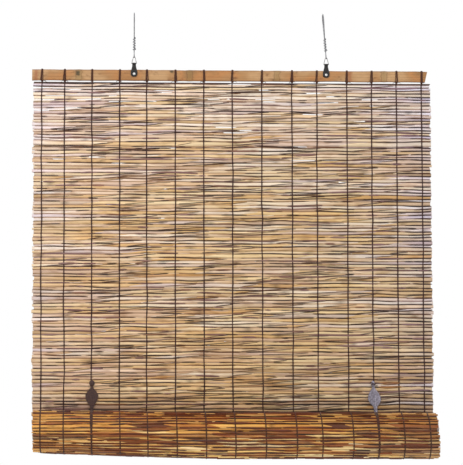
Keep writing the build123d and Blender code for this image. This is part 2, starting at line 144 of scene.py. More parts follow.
class Shader:
    """A material under construction: its node tree and its Principled shader."""

    def __init__(self, name: str, roughness: float, metallic: float = 0.0, specular: float = 0.5) -> None:
        self.material = bpy.data.materials.new(name)
        self.material.use_nodes = True
        self.tree = self.material.node_tree
        self.principled = self.tree.nodes["Principled BSDF"]
        self.principled.inputs["Roughness"].default_value = roughness
        self.principled.inputs["Metallic"].default_value = metallic
        self.principled.inputs["Specular IOR Level"].default_value = specular

    def add(self, kind: str, **inputs: object) -> bpy.types.Node:
        """Adds a node and sets or links its inputs.

        Args:
            kind: The node's type name, without its ShaderNode prefix.
            inputs: Values or output sockets by input name, with underscores for spaces.

        Returns:
            The new node.
        """
        node = self.tree.nodes.new("ShaderNode" + kind)
        for name, value in inputs.items():
            self.feed(node.inputs[name.replace("_", " ")], value)
        return node

    def feed(self, socket: Socket, value: object) -> None:
        """Links an output socket to an input, or sets the input's own value.

        Args:
            socket: The input.
            value: Its own value, or the output to link.
        """
        if isinstance(value, Socket):
            self.tree.links.new(value, socket)
        else:
            socket.default_value = value

    def attribute(self, name: str, output: str = "Fac") -> Socket:
        """An output of the mesh attribute of that name.

        Args:
            name: The attribute's name.
            output: Which output of the node to give.

        Returns:
            The output.
        """
        node = self.add("Attribute")
        node.attribute_name = name
        return node.outputs[output]

    def place(self, scale: Triple = (1, 1, 1), moved: Triple = (0, 0, 0)) -> Socket:
        """The object's own coordinates, stretched and then moved."""
        coordinates = self.add("TexCoord").outputs["Object"]
        return self.add("Mapping", Vector=coordinates, Scale=scale, Location=moved).outputs["Vector"]

    def noise(self, scale: Triple, detail: float = 2.0) -> Socket:
        """Smooth noise whose cells have these numbers to the metre."""
        return self.add("TexNoise", Vector=self.place(scale), Scale=1.0, Detail=detail).outputs["Fac"]

    def math(self, operation: str, *values: object) -> Socket:
        """The result of a sum on one, two or three values.

        Args:
            operation: The sum's name.
            values: The values or outputs that it works on.

        Returns:
            The output.
        """
        node = self.add("Math")
        node.operation = operation
        for socket, value in zip(node.inputs, values):
            self.feed(socket, value)
        return node.outputs[0]

    def distance(self, value: Socket, mark: float) -> Socket:
        """How far a value is from a mark."""
        return self.math("ABSOLUTE", self.math("SUBTRACT", value, mark))

    def near(self, off: Socket, reach: float, rise: float) -> Socket:
        """A share that falls from one to nought as the distance from a mark grows."""
        return self.add("Clamp", Value=self.math("SUBTRACT", rise, self.math("DIVIDE", off, reach))).outputs[0]

    def tinted(self, colour: Socket, share: Socket, strength: float, *tint: int) -> Socket:
        """A colour drawn towards another one, which is written in bytes."""
        return self.mix(self.math("MULTIPLY", share, strength), colour, linear(*tint))

    def ramp(self, factor: Socket, stops: Iterable[tuple[float, Colour]]) -> Socket:
        """A colour band.

        Args:
            factor: Where to read the band.
            stops: Places on the band, rising, with the linear colour of each.

        Returns:
            The colour output.
        """
        node = self.add("ValToRGB", Fac=factor)
        elements = node.color_ramp.elements
        for number, (place, colour) in enumerate(stops):
            element = elements[number] if number < len(elements) else elements.new(place)
            element.position = place
            element.color = (*colour, 1.0)
        return node.outputs["Color"]

    def mix(self, factor: object, first: object, second: object, blend: str = "MIX") -> Socket:
        """Two colours mixed by a factor.

        Args:
            factor: The share of the second colour.
            first: A colour or an output.
            second: A colour or an output.
            blend: How the two are mixed.

        Returns:
            The colour output.
        """
        node = self.tree.nodes.new("ShaderNodeMix")
        node.data_type = "RGBA"
        node.blend_type = blend
        colours = [socket for socket in node.inputs if socket.type == "RGBA"]
        self.feed(node.inputs[0], factor)
        for socket, value in zip(colours, (first, second)):
            self.feed(socket, (*value, 1.0) if isinstance(value, tuple) else value)
        return next(socket for socket in node.outputs if socket.type == "RGBA")

    def finish(self, colour: object, bump: object = None, depth: float = 0.0003) -> Material:
        """Joins the colour and the bump to the shader.

        Args:
            colour: A colour or a colour output.
            bump: A height output, or None for a smooth surface.
            depth: The height of the bump in metres.

        Returns:
            The material.
        """
        base = self.principled.inputs["Base Color"]
        self.feed(base, (*colour, 1.0) if isinstance(colour, tuple) else colour)
        if bump is not None:
            relief = self.add("Bump", Height=bump, Distance=depth, Strength=1.0)
            self.feed(self.principled.inputs["Normal"], relief.outputs["Normal"])
        return self.material


@dataclass(frozen=True)
class ReedFinish:
    """Split reed: each reed's own colour, broken by fine streaks, with painted shade darkening it towards its edges.
    """

    name: str = "split_reed"
    dull: float = 0.62
    glossy: float = 0.34
    rim_shade: float = 0.16

    def material(self) -> Material:
        """Builds the material from the attributes that the reeds carry.

        Returns:
            The material.
        """
        shader = Shader(self.name, self.dull, specular=0.4)
        streaks = shader.noise((14, 620, 620), 3.0)
        blotches = shader.noise((22, 90, 90), 2.0)
        own = shader.attribute("reed_colour", "Color")
        streaked = shader.ramp(streaks, [(0.3, (0.62, 0.56, 0.5)), (0.52, (1, 1, 1)), (0.75, (1.16, 1.14, 1.1))])
        colour = shader.mix(0.85, own, streaked, "MULTIPLY")
        stains = shader.ramp(blotches, [(0.3, (0.62, 0.5, 0.38)), (0.46, (1, 1, 1))])
        colour = shader.mix(0.6, colour, stains, "MULTIPLY")
        # Painted shade: each reed is drawn towards dark brown near its upper and lower edges, standing in for the
        # shade in the creases between reeds.
        rim = shader.math("POWER", shader.attribute("rim"), 3.0)
        colour = shader.tinted(colour, rim, self.rim_shade, 70, 44, 30)
        span = self.glossy - self.dull
        roughness = shader.math("MULTIPLY_ADD", shader.attribute("skin"), span, self.dull)
        shader.feed(shader.principled.inputs["Roughness"], roughness)
        return shader.finish(colour, streaks, 0.35 * MM)


@dataclass(frozen=True)
class BambooFinish:
    """A bamboo slat: long fibres, a tone that drifts along it, weather stains, nodes and knots."""

    name: str
    nodes: tuple[float, ...]
    knots: tuple[float, ...]
    spots: tuple[Pair, ...] = ()
    band: float = 11 * MM
    rim: float = 1.6 * MM
    knot_radius: float = 6 * MM
    spot_radius: float = 4.6 * MM
    roughness: float = 0.42

    def material(self) -> Material:
        """Builds the material, with one band for each node of the slat and a red patch for each knot.

        Returns:
            The material.
        """
        shader = Shader(self.name, self.roughness, specular=0.45)
        fibres = shader.noise((7, 700, 700), 4.0)
        tone = shader.ramp(
            shader.noise((7, 12, 12), 3.0),
            [
                (0.34, linear(164, 116, 72)),
                (0.44, linear(200, 158, 112)),
                (0.52, linear(182, 136, 88)),
                (0.6, linear(190, 132, 78)),
                (0.7, linear(152, 112, 68)),
            ],
        )
        grain = shader.ramp(fibres, [(0.3, (0.7, 0.64, 0.56)), (0.5, (1, 1, 1)), (0.7, (1.12, 1.1, 1.06))])
        colour = shader.mix(0.85, tone, grain, "MULTIPLY")
        stains = shader.ramp(shader.noise((46, 70, 70), 4.0), [(0.3, (0.45, 0.36, 0.28)), (0.41, (1, 1, 1))])
        colour = shader.mix(0.75, colour, stains, "MULTIPLY")
        along = shader.add("SeparateXYZ", Vector=shader.place()).outputs["X"]
        ragged = shader.math("MULTIPLY_ADD", shader.noise((60, 170, 170), 3.0), 13 * MM, -6.5 * MM)
        strayed = shader.math("ADD", along, ragged)
        for place in self.nodes:
            off = shader.distance(strayed, place)
            colour = shader.tinted(colour, shader.near(off, self.band, 1.25), 0.42, 134, 112, 62)
            rim = shader.distance(off, 0.6 * self.band)
            colour = shader.tinted(colour, shader.near(rim, self.rim, 1.0), 0.6, 104, 66, 40)
        for place in self.knots:
            off = shader.distance(strayed, place)
            colour = shader.tinted(colour, shader.near(off, self.knot_radius, 1.3), 0.6, 156, 84, 46)
        for place, height in self.spots:
            moved = shader.add("SeparateXYZ", Vector=shader.place(moved=(-place, 0.0, -height)))
            squares = [shader.math("POWER", shader.math("ABSOLUTE", moved.outputs[axis]), 2.0) for axis in "XZ"]
            off = shader.math("ADD", shader.math("SQRT", shader.math("ADD", *squares)), ragged)
            colour = shader.tinted(colour, shader.near(off, self.spot_radius, 1.5), 0.85, 64, 54, 26)
        colour = shader.tinted(colour, shader.attribute("edge"), 0.75, 112, 70, 40)
        return shader.finish(colour, fibres, 0.3 * MM)


@dataclass(frozen=True)
class YarnFinish:
    """Two-ply yarn, matt and hairy, with the plies showing as slanting ribs."""

    name: str
    colour: Colour
    ply: float = 2.6 * MM

    def material(self) -> Material:
        """Builds the material.

        Returns:
            The material.
        """
        shader = Shader(self.name, 0.9, specular=0.2)
        wave = shader.add("TexWave", Vector=shader.place(), Scale=1 / (self.ply * math.tau), Distortion=0.6)
        wave.bands_direction = "DIAGONAL"
        hairs = shader.noise((2200, 2200, 2200), 2.0)
        pale = tuple(min(1.0, 2.1 * value) for value in self.colour)
        dark = tuple(0.55 * value for value in self.colour)
        colour = shader.ramp(hairs, [(0.3, dark), (0.55, self.colour), (0.78, pale)])
        height = shader.math("ADD", wave.outputs["Fac"], hairs)
        shader.principled.inputs["Sheen Weight"].default_value = 0.15
        return shader.finish(colour, height, 0.35 * MM)


@dataclass(frozen=True)
class MetalFinish:
    """Bare or plated metal with fine marks that break its shine."""

    name: str
    colour: Colour
    worn: Colour
    roughness: float = 0.3
    metallic: float = 1.0
    marks: float = 0.15 * MM

    def material(self) -> Material:
        """Builds the material.

        Returns:
            The material.
        """
        shader = Shader(self.name, self.roughness, self.metallic)
        patches = shader.noise((260, 260, 260), 4.0)
        colour = shader.ramp(patches, [(0.36, self.colour), (0.66, self.worn)])
        fine = shader.noise((1400, 1400, 1400), 2.0)
        spread = shader.math("MULTIPLY_ADD", patches, 0.3, self.roughness - 0.15)
        shader.feed(shader.principled.inputs["Roughness"], spread)
        return shader.finish(colour, fine, self.marks)


# Modelling


def choose(piece: Piece) -> None:
    """Makes one object the only selected one, and the active one.

    Args:
        piece: The object.
    """
    bpy.ops.object.select_all(action="DESELECT")
    piece.select_set(True)
    bpy.context.view_layer.objects.active = piece


def embed() -> None:
    """Moves the selected object's place, turn and size into its mesh."""
    bpy.ops.object.transform_apply(location=True, rotation=True, scale=True)


def coated(piece: Piece, finish: Material) -> Piece:
    """Gives a piece one material in place of any that it had.

    Args:
        piece: The piece.
        finish: Its material.

    Returns:
        The piece.
    """
    piece.data.materials.clear()
    piece.data.materials.append(finish)
    return piece


def placed(name: str, data: bpy.types.ID) -> Piece:
    """Puts a mesh, lamp or camera into the scene.

    Args:
        name: The new object's name.
        data: What it shows.

    Returns:
        The new object.
    """
    made = bpy.data.objects.new(name, data)
    bpy.context.scene.collection.objects.link(made)
    return made


def primitive(kind: str, name: str, **settings: object) -> Piece:
    """Adds a mesh primitive.

    Args:
        kind: The operator's name after primitive_ and before _add.
        name: The new object's name.
        settings: What the operator takes, such as location and scale.

    Returns:
        The new object, alone selected.
    """
    bpy.ops.object.select_all(action="DESELECT")
    getattr(bpy.ops.mesh, f"primitive_{kind}_add")(**settings)
    made = bpy.context.active_object
    made.name = made.data.name = name
    return made


class Editing:
    """Edit mode on one object, entered with nothing selected."""

    def __init__(self, piece: Piece) -> None:
        self.piece = piece

    def __enter__(self) -> "Editing":
        choose(self.piece)
        bpy.ops.object.mode_set(mode="EDIT")
        bpy.ops.mesh.select_all(action="DESELECT")
        return self

    def __exit__(self, *_: object) -> None:
        bpy.ops.object.mode_set(mode="OBJECT")

    def along(self, axis: int, least: float) -> None:
        """Selects the edges that run more than some length along an axis, and nothing else.

        Args:
            axis: The axis, from 0 to 2.
            least: The length that an edge has to pass.
        """
        bpy.ops.mesh.select_all(action="DESELECT")
        bpy.ops.mesh.select_mode(type="EDGE")
        mesh = bmesh.from_edit_mesh(self.piece.data)
        for edge in mesh.edges:
            if abs(edge.verts[0].co[axis] - edge.verts[1].co[axis]) > least:
                edge.select_set(True)
        mesh.select_flush_mode()
        bmesh.update_edit_mesh(self.piece.data)


def settle(piece: Piece, angle: float = 40.0) -> Piece:
    """Puts a piece's place into its mesh and smooths its shading up to an angle in degrees.

    Args:
        piece: The piece.
        angle: The angle.

    Returns:
        The piece.
    """
    choose(piece)
    embed()
    bpy.ops.object.shade_smooth_by_angle(angle=math.radians(angle))
    return piece


def joined(name: str, pieces: list[Piece]) -> Piece:
    """Joins several objects into the first one, under a new name.

    Args:
        name: The new name.
        pieces: The objects, the one to keep first.

    Returns:
        The joined object.
    """
    bpy.ops.object.select_all(action="DESELECT")
    for piece in pieces:
        piece.select_set(True)
    bpy.context.view_layer.objects.active = pieces[0]
    if len(pieces) > 1:
        bpy.ops.object.join()
    pieces[0].name = pieces[0].data.name = name
    return pieces[0]


def modified(piece: Piece, kind: str, **settings: object) -> Piece:
    """Adds one modifier, sets it and applies it.

    Args:
        piece: The piece.
        kind: The modifier's type.
        settings: What its settings become.

    Returns:
        The piece.
    """
    choose(piece)
    modifier = piece.modifiers.new(kind.lower(), kind)
    for name, value in settings.items():
        setattr(modifier, name, value)
    bpy.ops.object.modifier_apply(modifier=modifier.name)
    return piece


# The blind's own frame


@dataclass(frozen=True)
class Lean:
    """How the blind leans about its pivots: pieces are made upright and then turned."""

    pivot: float
    angle: float

    @classmethod
    def of(cls, joints: list[dict]) -> "Lean":
        """Reads the lean from the joints of the frame.

        Args:
            joints: The joints of the frame.

        Returns:
            The lean.
        """
        by_name = {joint["name"]: joint for joint in joints}
        axis = by_name["roll_lift"]["axis"]
        return cls(by_name["blind_swing"]["pos_m"][2], math.atan2(-axis[1], axis[2]))

    def matrix(self) -> Matrix:
        """Turns an upright point to where it hangs.

        Returns:
            The matrix.
        """
        centre = Vector((0, 0, self.pivot))
        turn = Matrix.Rotation(self.angle, 4, "X")
        return Matrix.Translation(centre) @ turn @ Matrix.Translation(-centre)

    def box(self, *nodes: str) -> tuple[Vector, Vector]:
        """The lowest and highest corners of some solids, measured upright.

        Args:
            nodes: The solids' names.

        Returns:
            Both corners.
        """
        back = self.matrix().inverted()
        points = [back @ vertex.co for node in nodes for vertex in bpy.data.objects[node].data.vertices]
        low = Vector(min(point[axis] for point in points) for axis in range(3))
        high = Vector(max(point[axis] for point in points) for axis in range(3))
        return low, high

    def hang(self, piece: Piece) -> Piece:
        """Turns an upright piece's mesh to where it hangs."""
        piece.data.transform(self.matrix())
        return piece


@dataclass(frozen=True)
class Sizes:
    """The blind's measures, upright, taken from its solids and joints."""

    left: float
    right: float
    top: float
    front: float
    back: float
    axis_y: float
    axis_z: float
    roll_left: float
    roll_right: float
    strings: tuple[float, ...]

    @classmethod
    def of(cls, lean: Lean, joints: list[dict]) -> "Sizes":
        """Measures the solids.

        Args:
            lean: How the blind leans.
            joints: The joints of the frame.

        Returns:
            The measures.
        """
        low, high = lean.box("reed_mat")
        roll_low, roll_high = lean.box("reed_roll")
        spin = next(joint for joint in joints if joint["name"] == "roll_spin")
        axis = lean.matrix().inverted() @ Vector(spin["pos_m"])
        strings = []
        for number in range(1, STRINGS + 1):
            string_low, string_high = lean.box(f"warp_string_{number:02d}")
            strings.append((string_low.x + string_high.x) / 2)
        roll = (axis.y, axis.z, roll_low.x, roll_high.x)
        return cls(low.x, high.x, high.z, low.y, high.y, *roll, tuple(strings))

    @property
    def thickness(self) -> float:
        """The sheet's thickness."""
        return self.back - self.front

    @property
    def radius(self) -> float:
        """The roll's outer radius."""
        return self.back - self.axis_y

    @property
    def hanging(self) -> float:
        """How much of the sheet hangs."""
        return self.top - self.axis_z


# The sheet of reeds


class Surface(Protocol):
    """Where a point of the sheet lies, from its place across, down and into the sheet."""

    def place(self, across: Array, down: Array, depth: Array) -> Array:
        """Turns sheet places into upright points, one row each."""


@dataclass(frozen=True)
class Hanging:
    """The stretch of the sheet that hangs below the rail, drawn a little aside at its foot."""

    sizes: Sizes
    drawn_aside: float = 3.6 * MM

    def place(self, across: Array, down: Array, depth: Array) -> Array:
        """Lays the sheet in its plane."""
        aside = self.drawn_aside * (down / self.sizes.hanging - 0.2)
        return np.stack([across + aside, self.sizes.front + depth, self.sizes.top - down], 1)


@dataclass(frozen=True)
class Winding:
    """The stretch of the sheet that is rolled up at the foot, from where the hanging stretch ends."""

    sizes: Sizes
    pitch: float = 6.5 * MM
    turns: float = 5.45
    left_scale: float = 51.5 / 58
    taper: float = 413 * MM
    slip_start: float = math.radians(150)
    slip_span: float = math.radians(85)
    slip_left: float = 1 * MM
    slip_right: float = 5 * MM
    shift: float = 7 * MM
    loose: float = 11 * MM
    loose_at: float = math.radians(264)
    loose_reach: float = math.radians(64)
    foot: tuple[Pair, ...] = ((0, -4.5), (0.08, -1), (0.3, 2.8), (0.45, 5), (1, 5))
    foot_at: float = math.radians(98)
    foot_reach: float = math.radians(80)
    inward: float = 0.28

    def tapered(self, across: Array) -> Array:
        """How far along the roll's tapering left end a place lies, from 0 to 1."""
        return np.clip((across - self.sizes.roll_left) / self.taper, 0, 1)

    def tightness(self, across: Array) -> Array:
        """How tightly the sheet is wound at a place across it."""
        return self.left_scale + (1 - self.left_scale) * self.tapered(across)

    def slip(self, across: Array, angle: Array) -> Array:
        """How far the sheet has crept sideways at an angle of its winding.

        Args:
            across: Places across the sheet.
            angle: Angles of the winding, one for each.

        Returns:
            What to add to each place across.
        """
        begun = np.clip(angle / math.radians(80), 0, 1)
        share = (across - self.sizes.roll_left) / (self.sizes.roll_right - self.sizes.roll_left)
        most = self.slip_left + (self.slip_right - self.slip_left) * share
        back = np.where(angle < math.tau, np.clip((angle - self.slip_start) / self.slip_span, 0, 1.15), 0.5)
        return -self.shift * (1 - begun) ** 2 - most * back

    def slack(self, across: Array, angle: Array) -> Array:
        """How far the outer turn lifts over the crown at the roll's tighter end."""
        near = np.clip(1 - np.abs(angle - self.loose_at) / self.loose_reach, 0, 1)
        return self.loose * (1 - self.tapered(across)) * near * near * (3 - 2 * near) + self.sag(across, angle)

    def sag(self, across: Array, angle: Array) -> Array:
        """How far the turns sag under the roll, less and less with each turn inwards.

        Args:
            across: Places across the sheet.
            angle: Angles of the winding, one for each.

        Returns:
            How far outwards each place moves.
        """
        turn = np.floor(angle / math.tau)
        near = np.clip(1 - np.abs(angle - turn * math.tau - self.foot_at) / self.foot_reach, 0, 1)
        places = [self.sizes.roll_left + place for place, _ in self.foot]
        drop = np.interp(across, places, [sagging * MM for _, sagging in self.foot])
        return drop * near * near * (3 - 2 * near) * np.clip(1 - self.inward * turn, 0, 1)

    def place(self, across: Array, down: Array, depth: Array) -> Array:
        """Winds the sheet round the roll's axis, its back face outwards.

        Args:
            across: Places across the sheet.
            down: Distances down the sheet.
            depth: Places in the sheet's thickness.

        Returns:
            The upright points, one row each.
        """
        angle = down / self.sizes.radius
        radius = self.sizes.radius - self.pitch * angle / math.tau - (self.sizes.thickness - depth)
        radius = radius * self.tightness(across) + self.slack(across, angle)
        aside = across + self.slip(across, angle)
        axis_y, axis_z = self.sizes.axis_y, self.sizes.axis_z
        return np.stack([aside, axis_y + radius * np.cos(angle), axis_z - radius * np.sin(angle)], 1)


class Master:
    """One plain rod along X, cut into rings, that every reed and every run of yarn is copied from."""

    made: dict[tuple[int, int], "Master"] = {}

    def __init__(self, rings: int, sides: int) -> None:
        rod = primitive("cylinder", "master_rod", vertices=sides, radius=1, depth=1)
        bpy.ops.transform.translate(value=(0, 0, 0.5))
        embed()
        with Editing(rod) as edit:
            edit.along(2, 0.5)
            bpy.ops.mesh.subdivide(number_cuts=rings - 2)
        points = np.array([vertex.co for vertex in rod.data.vertices])
        self.ring = np.rint(points[:, 2] * (rings - 1)).astype(int)
        self.circle = points[:, :2]
        self.up = np.sign(points[:, 1]) * np.abs(points[:, 1]) ** 0.85
        self.out = np.sign(points[:, 0]) * np.abs(points[:, 0]) ** 0.75
        self.skin = (self.out + 1) / 2
        self.faces = [tuple(face.vertices) for face in rod.data.polygons]
        bpy.data.meshes.remove(rod.data)

    @classmethod
    def of(cls, rings: int, sides: int = ROD_SIDES) -> "Master":
        """The rod with that many rings and sides, made when first asked for.

        Args:
            rings: How many rings.
            sides: How many sides.

        Returns:
            The rod.
        """
        if (rings, sides) not in cls.made:
            cls.made[rings, sides] = cls(rings, sides)
        return cls.made[rings, sides]

    def blended(self, front: Array, back: Array) -> Array:
        """Each vertex's colour, from a reed's split face in front to its skin behind."""
        skin = self.skin[:, None]
        return front * (1 - skin) + back * skin


@dataclass
class Bundle:
    """Rods copied from the masters, gathered into one mesh with their colours."""

    points: list[Array] = field(default_factory=list)
    faces: list[tuple[int, ...]] = field(default_factory=list)
    colours: list[Array] = field(default_factory=list)
    rims: list[Array] = field(default_factory=list)
    skins: list[Array] = field(default_factory=list)
    count: int = 0

    def add(self, points: Array, master: Master, colour: Array | None = None) -> None:
        """Adds one rod whose vertices are in place.

        Args:
            points: The vertices, in the master's order.
            master: The rod that was copied.
            colour: A linear colour for each vertex, or None for yarn.
        """
        self.points.append(points)
        self.faces.extend(tuple(corner + self.count for corner in face) for face in master.faces)
        self.count += len(points)
        if colour is not None:
            self.colours.append(colour)
            self.rims.append(np.abs(master.up))
            self.skins.append(master.skin)

    def piece(self, name: str, material: Material) -> Piece:
        """Makes the mesh object.

        Args:
            name: The object's name.
            material: Its material.

        Returns:
            The object.
        """
        mesh = bpy.data.meshes.new(name)
        mesh.from_pydata(np.concatenate(self.points).tolist(), [], self.faces)
        if self.colours:
            shade = np.concatenate(self.colours)
            filled = np.concatenate([shade, np.ones((len(shade), 1))], 1).astype(np.float32)
            mesh.attributes.new("reed_colour", "FLOAT_COLOR", "POINT").data.foreach_set("color", filled.ravel())
            for label, values in (("rim", self.rims), ("skin", self.skins)):
                data = np.concatenate(values).astype(np.float32)
                mesh.attributes.new(label, "FLOAT", "POINT").data.foreach_set("value", data)
        return settle(coated(placed(name, mesh), material), 60)


@dataclass(frozen=True)
class Palette:
    """Colours of reed and how common each is."""

    colours: tuple[Colour, ...]
    weights: tuple[float, ...]

    def pick(self, draw: Chance) -> Array:
        """Draws one colour, a little lighter or darker than written.

        Args:
            draw: Where the chances come from.

        Returns:
            The linear colour.
        """
        shares = np.array(self.weights) / sum(self.weights)
        colour = np.array(self.colours[draw.choice(len(self.colours), p=shares)])
        return colour * draw.uniform(0.88, 1.12)


def palette(*swatches: tuple[int, int, int, float]) -> Palette:
    """A palette from colours written in bytes, each with how common it is."""
    return Palette(tuple(linear(*swatch[:3]) for swatch in swatches), tuple(swatch[3] for swatch in swatches))


PALE = palette(
    (248, 235, 211, 2.8), (240, 218, 194, 2.8), (218, 202, 196, 0.8), (240, 214, 164, 2.4),
    (226, 196, 156, 1.8), (206, 182, 166, 0.8),
)
STRAW = palette(
    (238, 206, 150, 3.2), (232, 202, 166, 2.4), (220, 182, 124, 2.4), (206, 180, 160, 1.2),
    (212, 160, 88, 0.5), (246, 226, 182, 1.7), (186, 152, 104, 0.6),
)
SKIN = palette(
    (222, 168, 92, 1.9), (190, 130, 66, 2.2), (152, 88, 42, 2.4), (116, 60, 28, 2.7), (84, 42, 24, 2.0),
    (248, 220, 168, 1.5), (234, 192, 124, 2.0),
)
JOINT = palette(
    (206, 170, 132, 3.8), (182, 144, 112, 2.8), (170, 146, 140, 1.6), (140, 104, 72, 1.4),
    (98, 66, 48, 0.9), (64, 42, 34, 0.9), (168, 140, 84, 1.1),
)
# Painted shade: near-black browns for the slivers laid in the joints between rows, standing in for the shade in the
# creases between reeds.
CREVICE_SHADE = palette(
    (70, 38, 22, 3), (98, 54, 28, 2.4), (122, 70, 34, 1.4), (52, 30, 22, 1.6),
)
# Near-black bars: partly dark reed ends, partly painted shade in the grooves between reeds and where reeds overlap.
ACCENT = palette(
    (40, 24, 22, 3.8), (70, 42, 30, 2.4), (74, 60, 60, 1), (132, 80, 36, 0.8),
)
AMBER = palette(
    (236, 194, 116, 2.4), (216, 166, 90, 2.6), (190, 132, 66, 2.0), (242, 216, 158, 1.4),
    (160, 108, 54, 1.2),
)
DUSK = palette(
    (134, 100, 96, 2), (114, 84, 74, 2), (158, 128, 120, 1.6), (140, 98, 66, 1.4),
)
GOLD = palette(
    (250, 224, 166, 2), (238, 196, 118, 2.4), (252, 236, 200, 1.2), (226, 176, 92, 1.6),
)
RUST = palette(
    (84, 36, 16, 3), (112, 54, 22, 2.6), (60, 30, 20, 2), (140, 76, 30, 1.2),
)


@dataclass
class Rows:
    """The lines between the rows of reeds on a stretch of the sheet, and how far each line gapes."""

    knots: Array
    lines: Array
    gaping: Array

    @classmethod
    def drawn(cls, draw: Chance, edges: Pair, length: float, pitches: Pair, wander: float) -> "Rows":
        """Draws lines that wander, each following its neighbour in part.

        Args:
            draw: Where the chances come from.
            edges: The sheet's left and right edges.
            length: How far the stretch runs down.
            pitches: The height of a row at the start and at the end.
            wander: How far a line strays.

        Returns:
            The rows, with no line gaping yet.
        """
        first, last = pitches
        count = round(2 * length / (first + last))
        share = np.linspace(0, 1, count + 1)
        places = first * share + (last - first) * share**2 / 2
        knots = np.arange(edges[0] - 20 * MM, edges[1] + 30 * MM, 10 * MM)
        kernel = np.hanning(13) / np.hanning(13).sum()
        stray = draw.normal(size=len(knots) + 12)
        lines = []
        for place in places / places[-1] * length:
            stray = 0.5 * stray + 0.86 * draw.normal(size=len(stray))
            offset = 0.36 * wander * draw.normal()
            lines.append(place + offset + wander * np.convolve(stray, kernel, "valid"))
        return cls(knots, np.array(lines), np.zeros((count + 1, len(knots))))

    @property
    def count(self) -> int:
        """How many rows there are."""
        return len(self.lines) - 1

    def share(self, row: int) -> float:
        """How far down the stretch a row lies, from 0 to 1."""
        return (row + 0.5) / self.count

    def gape(self, line: int, start: float, end: float, width: float) -> None:
        """Opens a line between two places across the sheet."""
        inside = np.clip(np.minimum(self.knots - start, end - self.knots) / (8 * MM), 0, 1)
        self.gaping[line] = np.maximum(self.gaping[line], width * inside)

    def edges(self, row: int, across: Array, joint: float) -> tuple[Array, Array]:
        """The upper and lower edges of the reeds in a row.

        Args:
            row: The row.
            across: Places across the sheet.
            joint: The height of a closed joint between two rows.

        Returns:
            Both edges as distances down the sheet.
        """
        upper = np.interp(across, self.knots, self.lines[row] + self.gaping[row] / 2)
        lower = np.interp(across, self.knots, self.lines[row + 1] - self.gaping[row + 1] / 2)
        return upper + joint / 2, lower - joint / 2

    def line(self, number: int, across: Array) -> Array:
        """A line's distance down the sheet."""
        return np.interp(across, self.knots, self.lines[number])

    def closed(self, number: int) -> list[Pair]:
        """The stretches across the sheet where a line doesn't gape.

        Args:
            number: The line.

        Returns:
            The two ends of each stretch.
        """
        shut = np.concatenate([[False], self.gaping[number] < 0.3 * MM, [False]])
        turns = np.minimum(np.flatnonzero(np.diff(shut)), len(self.knots) - 1)
        pairs = zip(self.knots[turns[::2]], self.knots[turns[1::2]])
        return [pair for pair in pairs if pair[1] - pair[0] > 15 * MM]

    def stitches(self, across: float) -> Array:
        """Where a string crosses each line and each row's middle, as distances down the sheet.

        Args:
            across: The string's place across the sheet.

        Returns:
            The distances, lines and middles by turns.
        """
        place = np.array([across])
        lines = np.array([self.line(number, place)[0] for number in range(self.count + 1)])
        down = np.empty(2 * len(lines) - 1)
        down[::2] = lines
        down[1::2] = (lines[1:] + lines[:-1]) / 2
        return down


@dataclass(frozen=True)
class ToneAndShade:
    """Factors on the reeds' colours down and across the sheet: drifts of tone, painted shade at the mat's foot above
    the roll and painted light on the roll's underside.
    """

    down: Stops = ((0, (1, 1, 1)),)
    across: Stops = ((0, (1, 1, 1)),)

    @staticmethod
    def read(stops: Stops, share: Array) -> Array:
        """The factors at some places, one row each."""
        places = [place for place, _ in stops]
        return np.stack([np.interp(share, places, [colour[band] for _, colour in stops]) for band in range(3)], 1)

    def at(self, down: Array, across: Array) -> Array:
        """The factors at shares of the way down and across."""
        return self.read(self.down, down) * self.read(self.across, across)


